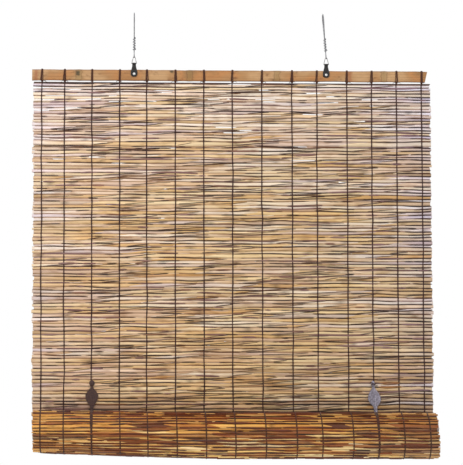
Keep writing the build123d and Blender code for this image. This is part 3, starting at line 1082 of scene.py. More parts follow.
@dataclass
class Weaver:
    """Lays reeds, the slivers between them and stray ends on one stretch of the sheet."""

    surface: Surface
    rows: Rows
    edges: Pair
    thickness: float
    fronts: ToneAndShade
    backs: ToneAndShade
    draw: Chance
    joint: float = 1.1 * MM
    ragged: float = 1.5 * MM
    node_chance: float = 0.3
    kept: float = 0.62
    tip: float = 45 * MM
    straight: float = 0.35
    lower: float = 0.85
    parted: float = 0.6
    narrowing: float = 0.62
    slide: float = 0.55

    def rod(
        self,
        bundle: Bundle,
        across: Array,
        middle: Array,
        half: Array,
        depth: Array,
        thick: Array,
        colours: tuple[Array, Array],
        sides: int = ROD_SIDES,
    ) -> None:
        """Lays one rod.

        Args:
            bundle: Where the rod goes.
            across: Each ring's place across the sheet.
            middle: Each ring's distance down the sheet.
            half: Each ring's half height.
            depth: Each ring's place in the sheet's thickness.
            thick: Each ring's half thickness.
            colours: The front and the back colour of each ring, before the tone and shade factors.
            sides: How many sides the rod has.
        """
        master = Master.of(len(across), sides)
        ring = master.ring
        down = middle[ring] - half[ring] * master.up
        points = self.surface.place(across[ring], down, depth[ring] + thick[ring] * master.out)
        left_share = (across - self.edges[0]) / (self.edges[1] - self.edges[0])
        down_share = middle / self.rows.lines[-1].mean()
        front = colours[0] * self.fronts.at(down_share, left_share)
        back = colours[1] * self.backs.at(down_share, left_share)
        bundle.add(points, master, master.blended(front[ring], back[ring]))

    def tint(self, palette: Palette, rings: int) -> Array:
        """One reed's colour at each ring: it drifts along the reed, and darkens at a node.

        Args:
            palette: The colours to draw from.
            rings: How many rings the reed has.

        Returns:
            A linear colour for each ring.
        """
        along = np.linspace(0, 1, rings)
        own = palette.pick(self.draw)
        stops = [self.kept * own + (1 - self.kept) * palette.pick(self.draw) for _ in range(4)]
        colours = np.stack([np.interp(along, np.linspace(0, 1, 4), band) for band in np.transpose(stops)], 1)
        if rings > 4 and self.draw.random() < self.node_chance:
            colours[self.draw.integers(1, rings - 1)] *= 0.55
        return colours

    def spans(self, shortest: float, longest: float) -> list[Pair]:
        """Splits a row into reeds whose ends lie beside each other.

        Args:
            shortest: The length of the shortest reed.
            longest: The length of the longest reed.

        Returns:
            The two ends of each reed.
        """
        start = self.edges[0] + self.draw.normal(0, self.ragged)
        finish = self.edges[1] + self.draw.normal(0, self.ragged)
        found = []
        while start < finish:
            end = start + self.draw.uniform(shortest, longest)
            if end > finish - 60 * MM:
                end = finish
            found.append((start, end))
            start = end - self.draw.uniform(0.75, 1.3) * self.tip if end < finish else finish
        return found

    def reed(self, bundle: Bundle, row: int, span: Pair, palettes: tuple[Palette, Palette]) -> None:
        """Lays one reed in its row, its ends cut aslant so that the next one fits beside it.

        Args:
            bundle: Where it goes.
            row: Its row.
            span: Its ends across the sheet.
            palettes: The colours of its front and its back.
        """
        rings = rings_for(span[1] - span[0], REED_RINGS)
        across = np.linspace(span[0], span[1], rings)
        upper, lower = self.rows.edges(row, across, self.joint)
        half = np.maximum((lower - upper) / 2, 0.8 * MM)
        into = np.clip((across - span[0]) / self.tip, 0, 1)
        out_of = np.clip((span[1] - across) / self.tip, 0, 1)
        at_left = 0 if span[0] < self.edges[0] + 12 * MM else 1
        at_right = 0 if span[1] > self.edges[1] - 12 * MM else 1
        thin = 1 - self.narrowing * at_left * (1 - into) - self.narrowing * at_right * (1 - out_of)
        slide = self.slide * (at_left * (1 - into) - at_right * (1 - out_of))
        middle = (upper + lower) / 2
        chord = np.interp(across, across[[0, -1]], middle[[0, -1]])
        middle += self.straight * (chord - middle) + half * slide
        bulge = self.thickness / 2 - 0.35 * MM
        shallow = self.draw.uniform(-0.35, 0.35) * MM
        depth = np.full(rings, self.thickness / 2 + shallow) + 0.3 * MM * slide
        thick = bulge * (0.55 + 0.45 * thin) * self.draw.uniform(0.84, 1)
        colours = (self.tint(palettes[0], rings), self.tint(palettes[1], rings))
        self.rod(bundle, across, middle, half * thin, depth, thick, colours)

    def sliver(
        self,
        bundle: Bundle,
        lines: tuple[int, int],
        span: Pair,
        palettes: tuple[Palette, Palette],
        half: float,
        depth: float,
        slope: float = 0.0,
        lift: float = 0.0,
    ) -> None:
        """Lays a thin reed along the line between two rows, or aslant from one line to another.

        Args:
            bundle: Where it goes.
            lines: The lines that it runs between, from near the first at its left to near the second.
            span: Its ends across the sheet.
            palettes: The colours of its front and its back.
            half: Its half height.
            depth: Where it lies in the sheet's thickness.
            slope: How far it runs down for each step across.
            lift: How far above the line it lies.
        """
        rings = rings_for(span[1] - span[0], SLIVER_RINGS)
        across = np.linspace(span[0], span[1], rings)
        share = np.linspace(0.26, 0.74, rings)
        middle = (1 - share) * self.rows.line(lines[0], across) + share * self.rows.line(lines[1], across)
        middle += slope * (across - across.mean()) - lift
        tip = np.clip(np.minimum(across - span[0], span[1] - across) / (6 * MM), 0.45, 1)
        colours = (self.tint(palettes[0], rings), self.tint(palettes[1], rings))
        thick = np.full(rings, half * 0.85)
        self.rod(bundle, across, middle, half * tip, np.full(rings, depth), thick, colours, SLIVER_SIDES)

    def stray(
        self, bundle: Bundle, line: int, span: Pair, palette: Palette, half: float, depth: float, slope: float = 0.0,
        lift: float = 0.0,
    ) -> None:
        """Lays a sliver of one palette that keeps to one line."""
        self.sliver(bundle, (line, line), span, (palette, palette), half, depth, slope, lift)

    def fill(self, bundle: Bundle, fronts: Palette, backs: Palette, dark_from: float = math.inf) -> None:
        """Lays slivers in the joints, except where a line gapes, more of them dark from a place across on.

        Args:
            bundle: Where they go.
            fronts: The colours of their fronts.
            backs: The colours of their backs and of dark fronts.
            dark_from: The place across from which dark fronts are laid.
        """
        for line in range(1, self.rows.count):
            for start, end in self.rows.closed(line):
                start = max(start, self.edges[0] + self.draw.uniform(-1, 4) * MM)
                end = min(end, self.edges[1] - self.draw.uniform(-1, 4) * MM)
                while end - start > 15 * MM:
                    stop = min(start + self.draw.uniform(30, 230) * MM, end)
                    half = self.draw.uniform(1.2, 1.9) * MM
                    depth = self.thickness / 2 + self.draw.uniform(-0.5, 0.5) * MM
                    front = backs if stop > dark_from and self.draw.random() < 0.55 else fronts
                    self.sliver(bundle, (line, line), (start, stop), (front, backs), half, depth)
                    start = stop - self.draw.uniform(12, 22) * MM

    def scatter(self, bundle: Bundle, count: int, palette: Palette, depth: float, heights: Pair) -> None:
        """Lays stray ends over the joints.

        Args:
            bundle: Where they go.
            count: How many.
            palette: Their colours, front and back alike.
            depth: Where they lie in the sheet's thickness.
            heights: Their least and greatest half height.
        """
        for _ in range(count):
            line = 1 + int((self.rows.count - 1) * self.draw.random() ** self.lower)
            length = self.draw.uniform(13, 64) * MM * (2.4 if self.draw.random() < 0.25 else 1)
            start = self.draw.uniform(self.edges[0], self.edges[1] - length)
            half = self.draw.uniform(*heights)
            self.stray(bundle, line, (start, start + length), palette, half, depth, self.draw.normal(0, 0.014))

    def overlaps(self, bundle: Bundle, row: int, spans: list[Pair], palette: Palette, depth: float) -> None:
        """Lays a dark sliver where the end of one reed of a row slips past the next: partly the reed's dark cut end,
        partly painted shadow in the slanted joint.

        Args:
            bundle: Where they go.
            row: The row.
            spans: The ends of each of its reeds.
            palette: Their colours.
            depth: Where they lie in the sheet's thickness.
        """
        for (_, end), (start, _) in zip(spans, spans[1:]):
            if self.draw.random() < self.parted:
                half = self.draw.uniform(0.7, 1.15) * MM
                span = (start - self.draw.uniform(-8, 40) * MM, end + self.draw.uniform(-8, 40) * MM)
                self.sliver(bundle, (row + 1, row), span, (palette, palette), half, depth)


def yarn_run(
    bundle: Bundle,
    surface: Surface,
    across: Array,
    down: Array,
    depth: Array,
    width: Array,
    thick: float,
) -> None:
    """Lays a run of yarn down the sheet.

    Args:
        bundle: Where it goes.
        surface: The stretch of the sheet that it lies on.
        across: Each ring's place across the sheet.
        down: Each ring's distance down the sheet.
        depth: Each ring's place in the sheet's thickness.
        width: Each ring's half width.
        thick: Its half thickness.
    """
    master = Master.of(len(down))
    ring = master.ring
    sideways = across[ring] + width[ring] * master.up
    bundle.add(surface.place(sideways, down[ring], depth[ring] + thick * master.out), master)


def bent_rod(bundle: Bundle, path: Array, radius: Array | float) -> None:
    """Bends a round rod along a path.

    Args:
        bundle: Where it goes.
        path: The points of its middle line, one for each ring.
        radius: Its radius, one for all rings or one each.
    """
    master = Master.of(len(path))
    forward = np.gradient(path, axis=0)
    forward /= np.linalg.norm(forward, axis=1)[:, None]
    side = np.cross(forward[0], (1.0, 0.0, 0.0))
    if np.linalg.norm(side) < 0.3:
        side = np.cross(forward[0], (0.0, 0.0, 1.0))
    sides = []
    for heading in forward:
        side = side - heading * (side @ heading)
        side = side / np.linalg.norm(side)
        sides.append(side)
    sides = np.array(sides)
    others = np.cross(forward, sides)
    ring = master.ring
    spread = np.broadcast_to(radius, len(path))[ring][:, None]
    offset = sides[ring] * master.circle[:, :1] + others[ring] * master.circle[:, 1:]
    bundle.add(path[ring] + spread * offset, master)


def bent_piece(name: str, path: Array, radius: float, finish: Material) -> Piece:
    """Makes a piece that is one bent rod.

    Args:
        name: The piece's name.
        path: The points of its middle line.
        radius: Its radius.
        finish: Its material.

    Returns:
        The piece.
    """
    bundle = Bundle()
    bent_rod(bundle, path, radius)
    return bundle.piece(name, finish)


def rounded(corners: list[Triple], rings: int, soften: float) -> Array:
    """Points evenly along straight runs whose corners are then eased.

    Args:
        corners: The corners of the line.
        rings: How many points to give.
        soften: The length over which a corner is eased.

    Returns:
        The points, one row each.
    """
    line = np.array(corners)
    steps = np.linalg.norm(np.diff(line, axis=0), axis=1)
    marks = np.concatenate([[0], np.cumsum(steps)])
    dense = np.linspace(0, marks[-1], 600)
    points = np.stack([np.interp(dense, marks, line[:, axis]) for axis in range(3)], 1)
    reach = max(1, round(soften / marks[-1] * 600 / 2))
    kernel = np.hanning(2 * reach + 3)[1:-1]
    kernel /= kernel.sum()
    padded = np.concatenate([np.repeat(points[:1], reach, 0), points, np.repeat(points[-1:], reach, 0)])
    eased = np.stack([np.convolve(padded[:, axis], kernel, "valid") for axis in range(3)], 1)
    chosen = np.rint(np.linspace(0, len(eased) - 1, rings)).astype(int)
    return eased[chosen]


def attach(piece: Piece, body: Body, slot: str, *nodes: str) -> Piece:
    """Sets what a finished piece moves with, hides the solids that it stands for and logs its triangles.

    Args:
        piece: The piece.
        body: The body that it moves with.
        slot: The record's name for its finish; not used.
        nodes: The solids that it stands for.

    Returns:
        The piece.
    """
    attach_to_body(piece, body.value)
    if nodes:
        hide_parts(*nodes)
    triangles = sum(len(face.vertices) - 2 for face in piece.data.polygons)
    LOG.info("%s: %d triangles, moves with %s", piece.name, triangles, body.value)
    return piece


# Sub-assemblies


@dataclass
class ReedMat:
    """The hanging stretch of reeds with the warp strings that bind it."""

    sizes: Sizes
    lean: Lean
    seed: int = 11
    pitches: Pair = (7.6 * MM, 9.0 * MM)
    wander: float = 2.6 * MM
    gapes: tuple[Pair, ...] = ((0, 6), (0.02, 4.0), (0.12, 1.6), (0.24, 0.6), (0.36, 0.3), (0.5, 0))
    stray_ends: int = 1150
    pale_ends: int = 260
    dusky_ends: int = 300
    right_ends: int = 230
    foot_ends: int = 320
    first_line: float = 4.5 * MM
    first_dark: tuple[float, ...] = (0.9, 0.6, 0.4)
    notch_down: float = 0.955
    notch_depth: float = 9 * MM
    bare_corner: float = 26 * MM
    string_half: float = 1.45 * MM
    string_thick: float = 0.75 * MM
    front_short: float = 18 * MM
    end_depth: float = 0.9 * MM
    beyond: float = 3.5 * MM
    dark_edge: float = 75 * MM
    crossed: int = 13
    crossing: Pair = (0.7605, 9 * MM)
    patch: Triple = (0.378, 0.421, 0.762)
    # Lighter towards the top, paler and bluer at the left edge and bluer at the right. The last stops darken the foot:
    # painted shade where the roll keeps the light off the mat just above it.
    front_tone_and_shade: ToneAndShade = ToneAndShade(
        ((0, (1.17, 1.18, 1.27)), (0.12, (1.1, 1.08, 1.14)), (0.4, (1.09, 1.05, 1.01)),
         (0.88, (1.0, 0.93, 0.87)), (0.96, (0.74, 0.63, 0.52)), (1, (0.58, 0.47, 0.36))),
        ((0, (1.07, 1.15, 1.45)), (0.12, (1.08, 1.08, 1.18)), (0.5, (1, 1, 1)),
         (0.8, (0.95, 0.97, 1.02)), (1, (0.86, 0.94, 1.3))),
    )

    def rows(self, draw: Chance) -> Rows:
        """Draws the rows and the lines that gape, more of them near the rail.

        Args:
            draw: Where the chances come from.

        Returns:
            The rows.
        """
        edges = (self.sizes.left, self.sizes.right)
        rows = Rows.drawn(draw, edges, self.sizes.hanging, self.pitches, self.wander)
        rows.lines[0] = 0
        spare = rows.lines[1].mean() - self.first_line
        rows.lines[1:] -= spare * np.linspace(1, 0, rows.count)[:, None]
        rows.lines[1] = self.first_line + 0.3 * (rows.lines[1] - rows.lines[1].mean())
        shares, rates = zip(*self.gapes)
        for line in range(1, rows.count):
            for _ in range(draw.poisson(np.interp(line / rows.count, shares, rates))):
                length = draw.uniform(16, 66) * MM
                start = edges[0] + (edges[1] - edges[0] - length) * draw.random() ** 1.25
                rows.gape(line, start, start + length, draw.uniform(0.8, 1.8) * MM)
        return rows

    def build(self, finish: Material, yarn: Material) -> None:
        """Builds the reeds, the slivers between them and the strings.

        Args:
            finish: The reeds' material.
            yarn: The strings' material.
        """
        draw = np.random.default_rng(self.seed)
        edges = (self.sizes.left, self.sizes.right + self.beyond)
        rows = self.rows(draw)
        surface = Hanging(self.sizes)
        depth = self.sizes.thickness
        weaver = Weaver(surface, rows, edges, depth, self.front_tone_and_shade, ToneAndShade(), draw)
        reeds, joints, ends = Bundle(), Bundle(), Bundle()
        notched = round(self.notch_down * rows.count)
        for row in range(rows.count):
            share = rows.share(row)
            spans = weaver.spans(80 * MM, 300 * MM)
            for start, end in spans:
                if row == 2 and start < edges[0] + 10 * MM:
                    start = edges[0] + self.bare_corner
                if row in (notched, notched + 1) and end > edges[1] - 10 * MM:
                    end = edges[1] - self.notch_depth
                straw = draw.random() < np.interp(share, [0.05, 0.35, 1], [0.12, 0.55, 0.9])
                front = ACCENT if row == 0 else STRAW if straw else PALE
                weaver.reed(reeds, row, (start, end), (front, SKIN))
            if row:
                weaver.overlaps(ends, row, spans, ACCENT, self.end_depth)
        # The joint slivers get painted crevice shade on their backs, and on about half their fronts in the last
        # stretch before the right edge.
        weaver.fill(joints, JOINT, CREVICE_SHADE, edges[1] - self.dark_edge)
        self.first_reeds(weaver, ends)
        self.amber_patch(weaver, ends)
        back = depth - self.end_depth
        weaver.scatter(ends, self.stray_ends, ACCENT, self.end_depth, (0.7 * MM, 1.25 * MM))
        weaver.scatter(ends, self.pale_ends, PALE, 1.2 * MM, (0.7 * MM, 1.2 * MM))
        weaver.scatter(ends, self.dusky_ends, DUSK, 1.3 * MM, (1.3 * MM, 2.8 * MM))
        weaver.scatter(joints, self.stray_ends // 3, ACCENT, back, (0.8 * MM, 1.3 * MM))
        self.crowded(weaver, ends)
        for bundle, name in ((reeds, "mat_reeds"), (joints, "mat_joint_slivers"), (ends, "mat_stray_ends")):
            self.finish(bundle.piece(name, finish), "hanging_reed", "reed_mat")
        for number, across in enumerate(self.sizes.strings, 1):
            runs = Bundle()
            self.string(runs, surface, rows, across, draw)
            if number == self.crossed:
                self.strands(runs, surface, across)
            piece = runs.piece(f"mat_string_{number:02d}", yarn)
            self.finish(piece, "warp_yarn", f"warp_string_{number:02d}")

    def strands(self, runs: Bundle, surface: Surface, across: float) -> None:
        """Lays two loose strands of yarn crossing over the prong of the right hook.

        Args:
            runs: Where they go.
            surface: The stretch of the sheet that they lie on.
            across: The string's place across the sheet.
        """
        down, reach = self.crossing
        along = np.linspace(-1, 1, 10)
        for rise, length in ((0.42, 1.0), (-0.5, 0.75)):
            places = across + reach * length * along
            drops = down + rise * reach * length * along + 1.2 * MM * np.sin(2.4 * along)
            points = surface.place(places, drops, -2.4 * MM - 5.6 * MM * (1 - along**2))
            bent_rod(runs, points, np.linspace(1.15, 0.7, 10) * MM)

    def first_reeds(self, weaver: Weaver, ends: Bundle) -> None:
        """Lays thin dark reeds along the first lines below the rail, each with a slit of daylight under it.

        Args:
            weaver: What lays them.
            ends: Where they go.
        """
        draw = weaver.draw
        for line, kept in enumerate(self.first_dark, 2):
            start = self.sizes.left
            while start < self.sizes.right - 40 * MM:
                end = min(start + draw.uniform(90, 320) * MM, self.sizes.right)
                if draw.random() < kept:
                    half = draw.uniform(0.8, 1.15) * MM
                    weaver.stray(ends, line, (start, end), ACCENT, half, self.end_depth, lift=0.7 * MM)
                start = end + draw.uniform(-10, 30) * MM

    def amber_patch(self, weaver: Weaver, ends: Bundle) -> None:
        """Lays a few amber reeds together beside the right hook.

        Args:
            weaver: What lays them.
            ends: Where they go.
        """
        draw = weaver.draw
        start, end, down = self.patch
        for line, middle in enumerate(weaver.rows.lines.mean(axis=1)):
            if abs(middle - down) < 11 * MM:
                for _ in range(3):
                    span = (start + draw.uniform(-8, 12) * MM, end + draw.uniform(-12, 8) * MM)
                    half, slope = draw.uniform(1.7, 2.9) * MM, draw.normal(0, 0.05)
                    lift = draw.uniform(-2.5, 2.5) * MM
                    weaver.stray(ends, line, span, SKIN, half, self.end_depth, slope, lift)

    def crowded(self, weaver: Weaver, ends: Bundle) -> None:
        """Adds the dark ends that crowd the sheet's right edge and its foot; those at the foot are partly painted
        shade, where the roll keeps the light off the mat just above it.

        Args:
            weaver: What lays them.
            ends: Where they go.
        """
        draw = weaver.draw
        right = self.sizes.right + self.beyond
        zones = ((self.right_ends, (0.04, 1.0), right - 70 * MM), (self.foot_ends, (0.92, 1.0), self.sizes.left))
        for count, (upper, lower), least in zones:
            for _ in range(count):
                line = int(draw.uniform(upper, lower) * (weaver.rows.count - 1))
                start = draw.uniform(least, right - 18 * MM)
                span = (start, min(start + draw.uniform(20, 110) * MM, right))
                half = draw.uniform(0.9, 1.7) * MM
                weaver.stray(ends, line, span, ACCENT, half, self.end_depth, draw.normal(0, 0.015))

    def string(self, runs: Bundle, surface: Surface, rows: Rows, across: float, draw: Chance) -> None:
        """Lays a string's front and back strands, which dip into every joint between rows.

        Args:
            runs: Where they go.
            surface: The stretch of the sheet that they lie on.
            rows: The rows that they bind.
            across: The string's place across the sheet.
            draw: Where the chances come from.
        """
        down = rows.stitches(across)
        dip = np.where(np.arange(len(down)) % 2 == 0, 0.5, -0.42) * MM
        for facing, level, cut in ((1, 0.0, self.front_short), (-1, self.sizes.thickness, 0.0)):
            inside = down < self.sizes.hanging - cut
            run = down[inside]
            wander = np.interp(run, np.linspace(0, self.sizes.hanging, 24), draw.normal(0, 0.6 * MM, 24))
            width = self.string_half * draw.uniform(0.85, 1.12, len(run))
            depth = level + facing * dip[inside]
            yarn_run(runs, surface, across + wander, run, depth, width, self.string_thick)

    def finish(self, piece: Piece, slot: str, *nodes: str) -> None:
        """Leans a piece of the mat, sets what it moves with and gives it its own mesh.

        Args:
            piece: The piece.
            slot: The record's name for its finish.
            nodes: The solids that it stands for.
        """
        self.lean.hang(piece)
        attach(piece, Body.BLIND, slot, *nodes)
        anchor = self.lean.matrix() @ Vector((0, 0, self.sizes.top))
        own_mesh(piece)


@dataclass
class ReedRoll:
    """The rolled-up foot of the sheet: its outer turn, the turns inside, its strings and its batten."""

    sizes: Sizes
    lean: Lean
    seed: int = 23
    pitch: float = 9.0 * MM
    joint: float = 2.6 * MM
    wander: float = 2.6 * MM
    stray_ends: int = 300
    rust_ends: int = 860
    gold_ends: int = 360
    trim: float = 1.6 * MM
    beyond: float = 3.0 * MM
    tip: float = 24 * MM
    string_half: float = 1.45 * MM
    hook_strings: tuple[int, ...] = (3, 13)
    string_start: float = math.radians(2)
    string_end: float = math.radians(336)
    # Painted light: the down stops make the roll's underside and lower front paler and brighter, as light from the
    # floor below would, and its upper front and crown deeper orange; across, the right end is darker and bluer.
    tone_and_light: ToneAndShade = ToneAndShade(
        (
            (0, (1, 1, 1)), (0.25, (1.5, 1.54, 1.5)), (0.42, (1.3, 1.28, 1.22)), (0.58, (1.02, 0.78, 0.47)),
            (1, (1, 0.76, 0.44)),
        ),
        ((0, (0.97, 0.92, 0.86)), (0.3, (1.02, 1.02, 1.02)), (0.7, (0.97, 0.97, 0.98)), (1, (0.74, 0.74, 0.88))),
    )

    def build(self, finish: Material, yarn: Material, slat: Material) -> None:
        """Builds the turns, the strings round them and the batten at their heart.

        Args:
            finish: The reeds' material.
            yarn: The strings' material.
            slat: The batten's material.
        """
        draw = np.random.default_rng(self.seed)
        winding = Winding(self.sizes)
        edges = (self.sizes.roll_left + self.trim, self.sizes.roll_right + self.beyond)
        turn = math.tau * self.sizes.radius
        rows = Rows.drawn(draw, edges, turn, (self.pitch, self.pitch), self.wander)
        tones_and_light = (self.tone_and_light, self.tone_and_light)
        weaver = Weaver(winding, rows, edges, self.sizes.thickness, *tones_and_light, draw, self.joint, 0.9 * MM)
        weaver.kept, weaver.lower, weaver.tip = 0.8, 1.0, self.tip
        outer, slivers = Bundle(), Bundle()
        for row in range(rows.count):
            # Paler amber backs are chosen more often on the underside and lower front: painted light, along with the
            # brightening stops of the roll's colour factors.
            pale = np.interp(rows.share(row), [0.2, 0.42, 0.55, 1], [0.7, 0.6, 0.34, 0.3])
            for span in weaver.spans(45 * MM, 180 * MM):
                weaver.reed(outer, row, span, (STRAW, AMBER if draw.random() < pale else SKIN))
        # Every joint sliver of the roll gets painted crevice shade, front and back.
        weaver.fill(slivers, CREVICE_SHADE, CREVICE_SHADE)
        top = self.sizes.thickness - 1.0 * MM
        for count, palette, heights in (
            (self.rust_ends, RUST, (1.1 * MM, 3.0 * MM)),
            (self.gold_ends, GOLD, (0.7 * MM, 1.2 * MM)),
            (self.stray_ends, ACCENT, (0.8 * MM, 1.5 * MM)),
        ):
            weaver.scatter(slivers, count, palette, top, heights)
        inner = self.inner_turns(winding, edges, draw)
        for bundle, name in ((outer, "roll_reeds"), (slivers, "roll_slivers"), (inner, "roll_inner_turns")):
            piece = bundle.piece(name, finish)
            attach(self.lean.hang(piece), Body.ROLL, "rolled_reed", "reed_roll")
        for number, across in enumerate(self.sizes.strings, 1):
            run = Bundle()
            band = 1.0 if number in self.hook_strings else 0.0
            self.string(run, winding, rows, across + winding.shift, draw, band)
            piece = run.piece(f"coiled_string_{number:02d}", yarn)
            attach(self.lean.hang(piece), Body.ROLL, "warp_yarn", f"roll_string_{number:02d}")
        self.batten(slat)

    def inner_turns(self, winding: Winding, edges: Pair, draw: Chance) -> Bundle:
        """Lays whole reeds on the turns that only show at the roll's ends.

        Args:
            winding: How the sheet is wound.
            edges: The sheet's left and right edges.
            draw: Where the chances come from.

        Returns:
            The reeds.
        """
        bundle = Bundle()
        master = Master.of(4)
        down = math.tau * self.sizes.radius
        last = winding.turns * math.tau * self.sizes.radius
        half_sheet = self.sizes.thickness / 2
        kink = edges[0] + winding.taper
        while down < last:
            angle = down / self.sizes.radius
            here = self.sizes.radius - winding.pitch * angle / math.tau - half_sheet
            step = self.pitch * self.sizes.radius / here
            ends = (edges[0] + draw.uniform(2, 6) * MM, edges[1] - draw.uniform(2, 6) * MM)
            across = np.array([ends[0], kink, kink + 200 * MM, ends[1]])[master.ring]
            places = down - step * 0.42 * master.up
            depth = half_sheet + draw.uniform(-0.2, 0.2) * MM + (half_sheet - 0.3 * MM) * master.out
            shade = master.blended(STRAW.pick(draw), SKIN.pick(draw))
            bundle.add(winding.place(across, places, depth), master, shade)
            down += step
        return bundle

    def string(self, run: Bundle, winding: Winding, rows: Rows, across: float, draw: Chance, band: float) -> None:
        """Lays a string round the outer turn, dipping into every joint, and broader below a hook.

        Args:
            run: Where it goes.
            winding: How the sheet is wound.
            rows: The rows that it binds.
            across: The string's place across the sheet.
            draw: Where the chances come from.
            band: How much broader it is, 0 for an even string.
        """
        down = np.sort(rows.stitches(across))
        kept = (down > self.string_start * self.sizes.radius) & (down < self.string_end * self.sizes.radius)
        dip = np.where(np.arange(len(down)) % 2 == 0, -0.5, 0.5) * MM
        down = down[kept]
        crown = np.clip((down / self.sizes.radius - math.radians(160)) / math.radians(60), 0, 1)
        width = self.string_half * draw.uniform(0.85, 1.12, len(down)) * (1 + band * (0.5 + 1.0 * crown))
        depth = self.sizes.thickness + dip[kept]
        yarn_run(run, winding, np.full(len(down), across), down, depth, width, 0.7 * MM)

    def batten(self, finish: Material) -> None:
        """Builds the slat that the sheet is wound round.

        Args:
            finish: Its material.
        """
        low, high = self.lean.box("bottom_batten")
        piece = Slat(low, high, seed=5, slant=0.0, nodes=()).build("roll_batten", finish)
        attach(self.lean.hang(piece), Body.ROLL, "bamboo_slat", "bottom_batten")


@dataclass
class Slat:
    """A split bamboo slat: crowned faces, eased edges that wander, swollen nodes and a sawn end."""

    low: Vector
    high: Vector
    seed: int
    slant: float
    nodes: tuple[float, ...]
    edge: float = 1.6 * MM
    crown: float = 0.5 * MM
    wander: float = 0.35 * MM
    swell: float = 0.6 * MM
    swell_reach: float = 5 * MM
    sawn: float = 12 * MM

    def build(self, name: str, finish: Material) -> Piece:
        """Builds the slat upright.

        Args:
            name: The piece's name.
            finish: Its material.

        Returns:
            The slat.
        """
        centre = (self.low + self.high) / 2
        size = self.high - self.low
        slat = primitive("cube", name, size=1, location=centre, scale=size)
        embed()
        with Editing(slat) as edit:
            edit.along(0, size.x / 2)
            bpy.ops.mesh.bevel(offset=self.edge, segments=3, affect="EDGES")
            edit.along(2, size.z / 2)
            bpy.ops.mesh.subdivide(number_cuts=5)
            edit.along(0, size.x / 2)
            bpy.ops.mesh.subdivide(number_cuts=159)
        self.shape(slat, centre, size)
        return settle(coated(slat, finish), 50)

    def shape(self, slat: Piece, centre: Vector, size: Vector) -> None:
        """Moves the vertices: crown, wandering edges, nodes and the sawn end.

        Args:
            slat: The slat's object.
            centre: The middle of its box.
            size: The size of its box.
        """
        draw = np.random.default_rng(self.seed)
        knots = np.linspace(self.low.x, self.high.x, 40)
        strays = draw.normal(0, self.wander, (3, 40))
        marks = []
        for vertex in slat.data.vertices:
            point = vertex.co
            height = (point.z - centre.z) / (size.z / 2)
            outward = (point.y - centre.y) / (size.y / 2)
            marks.append(min(1.0, max(0.0, (abs(height) - 0.86) / 0.12)))
            stray = np.interp(point.x, knots, strays[0 if height > 0 else 1])
            bow = np.interp(point.x, knots, strays[2])
            swollen = sum(math.exp(-(((point.x - node) / self.swell_reach) ** 2)) for node in self.nodes)
            share = (self.high.z - point.z) / size.z
            if point.x > self.high.x - self.sawn:
                point.x -= self.slant * share * (point.x - self.high.x + self.sawn) / self.sawn
            point.y -= outward * self.crown * height * height
            point.y += 0.3 * bow + outward * self.swell * swollen
            point.z += abs(height) * (stray + math.copysign(self.swell * swollen, height))
        data = slat.data.attributes.new("edge", "FLOAT", "POINT").data
        data.foreach_set("value", np.array(marks, dtype=np.float32))


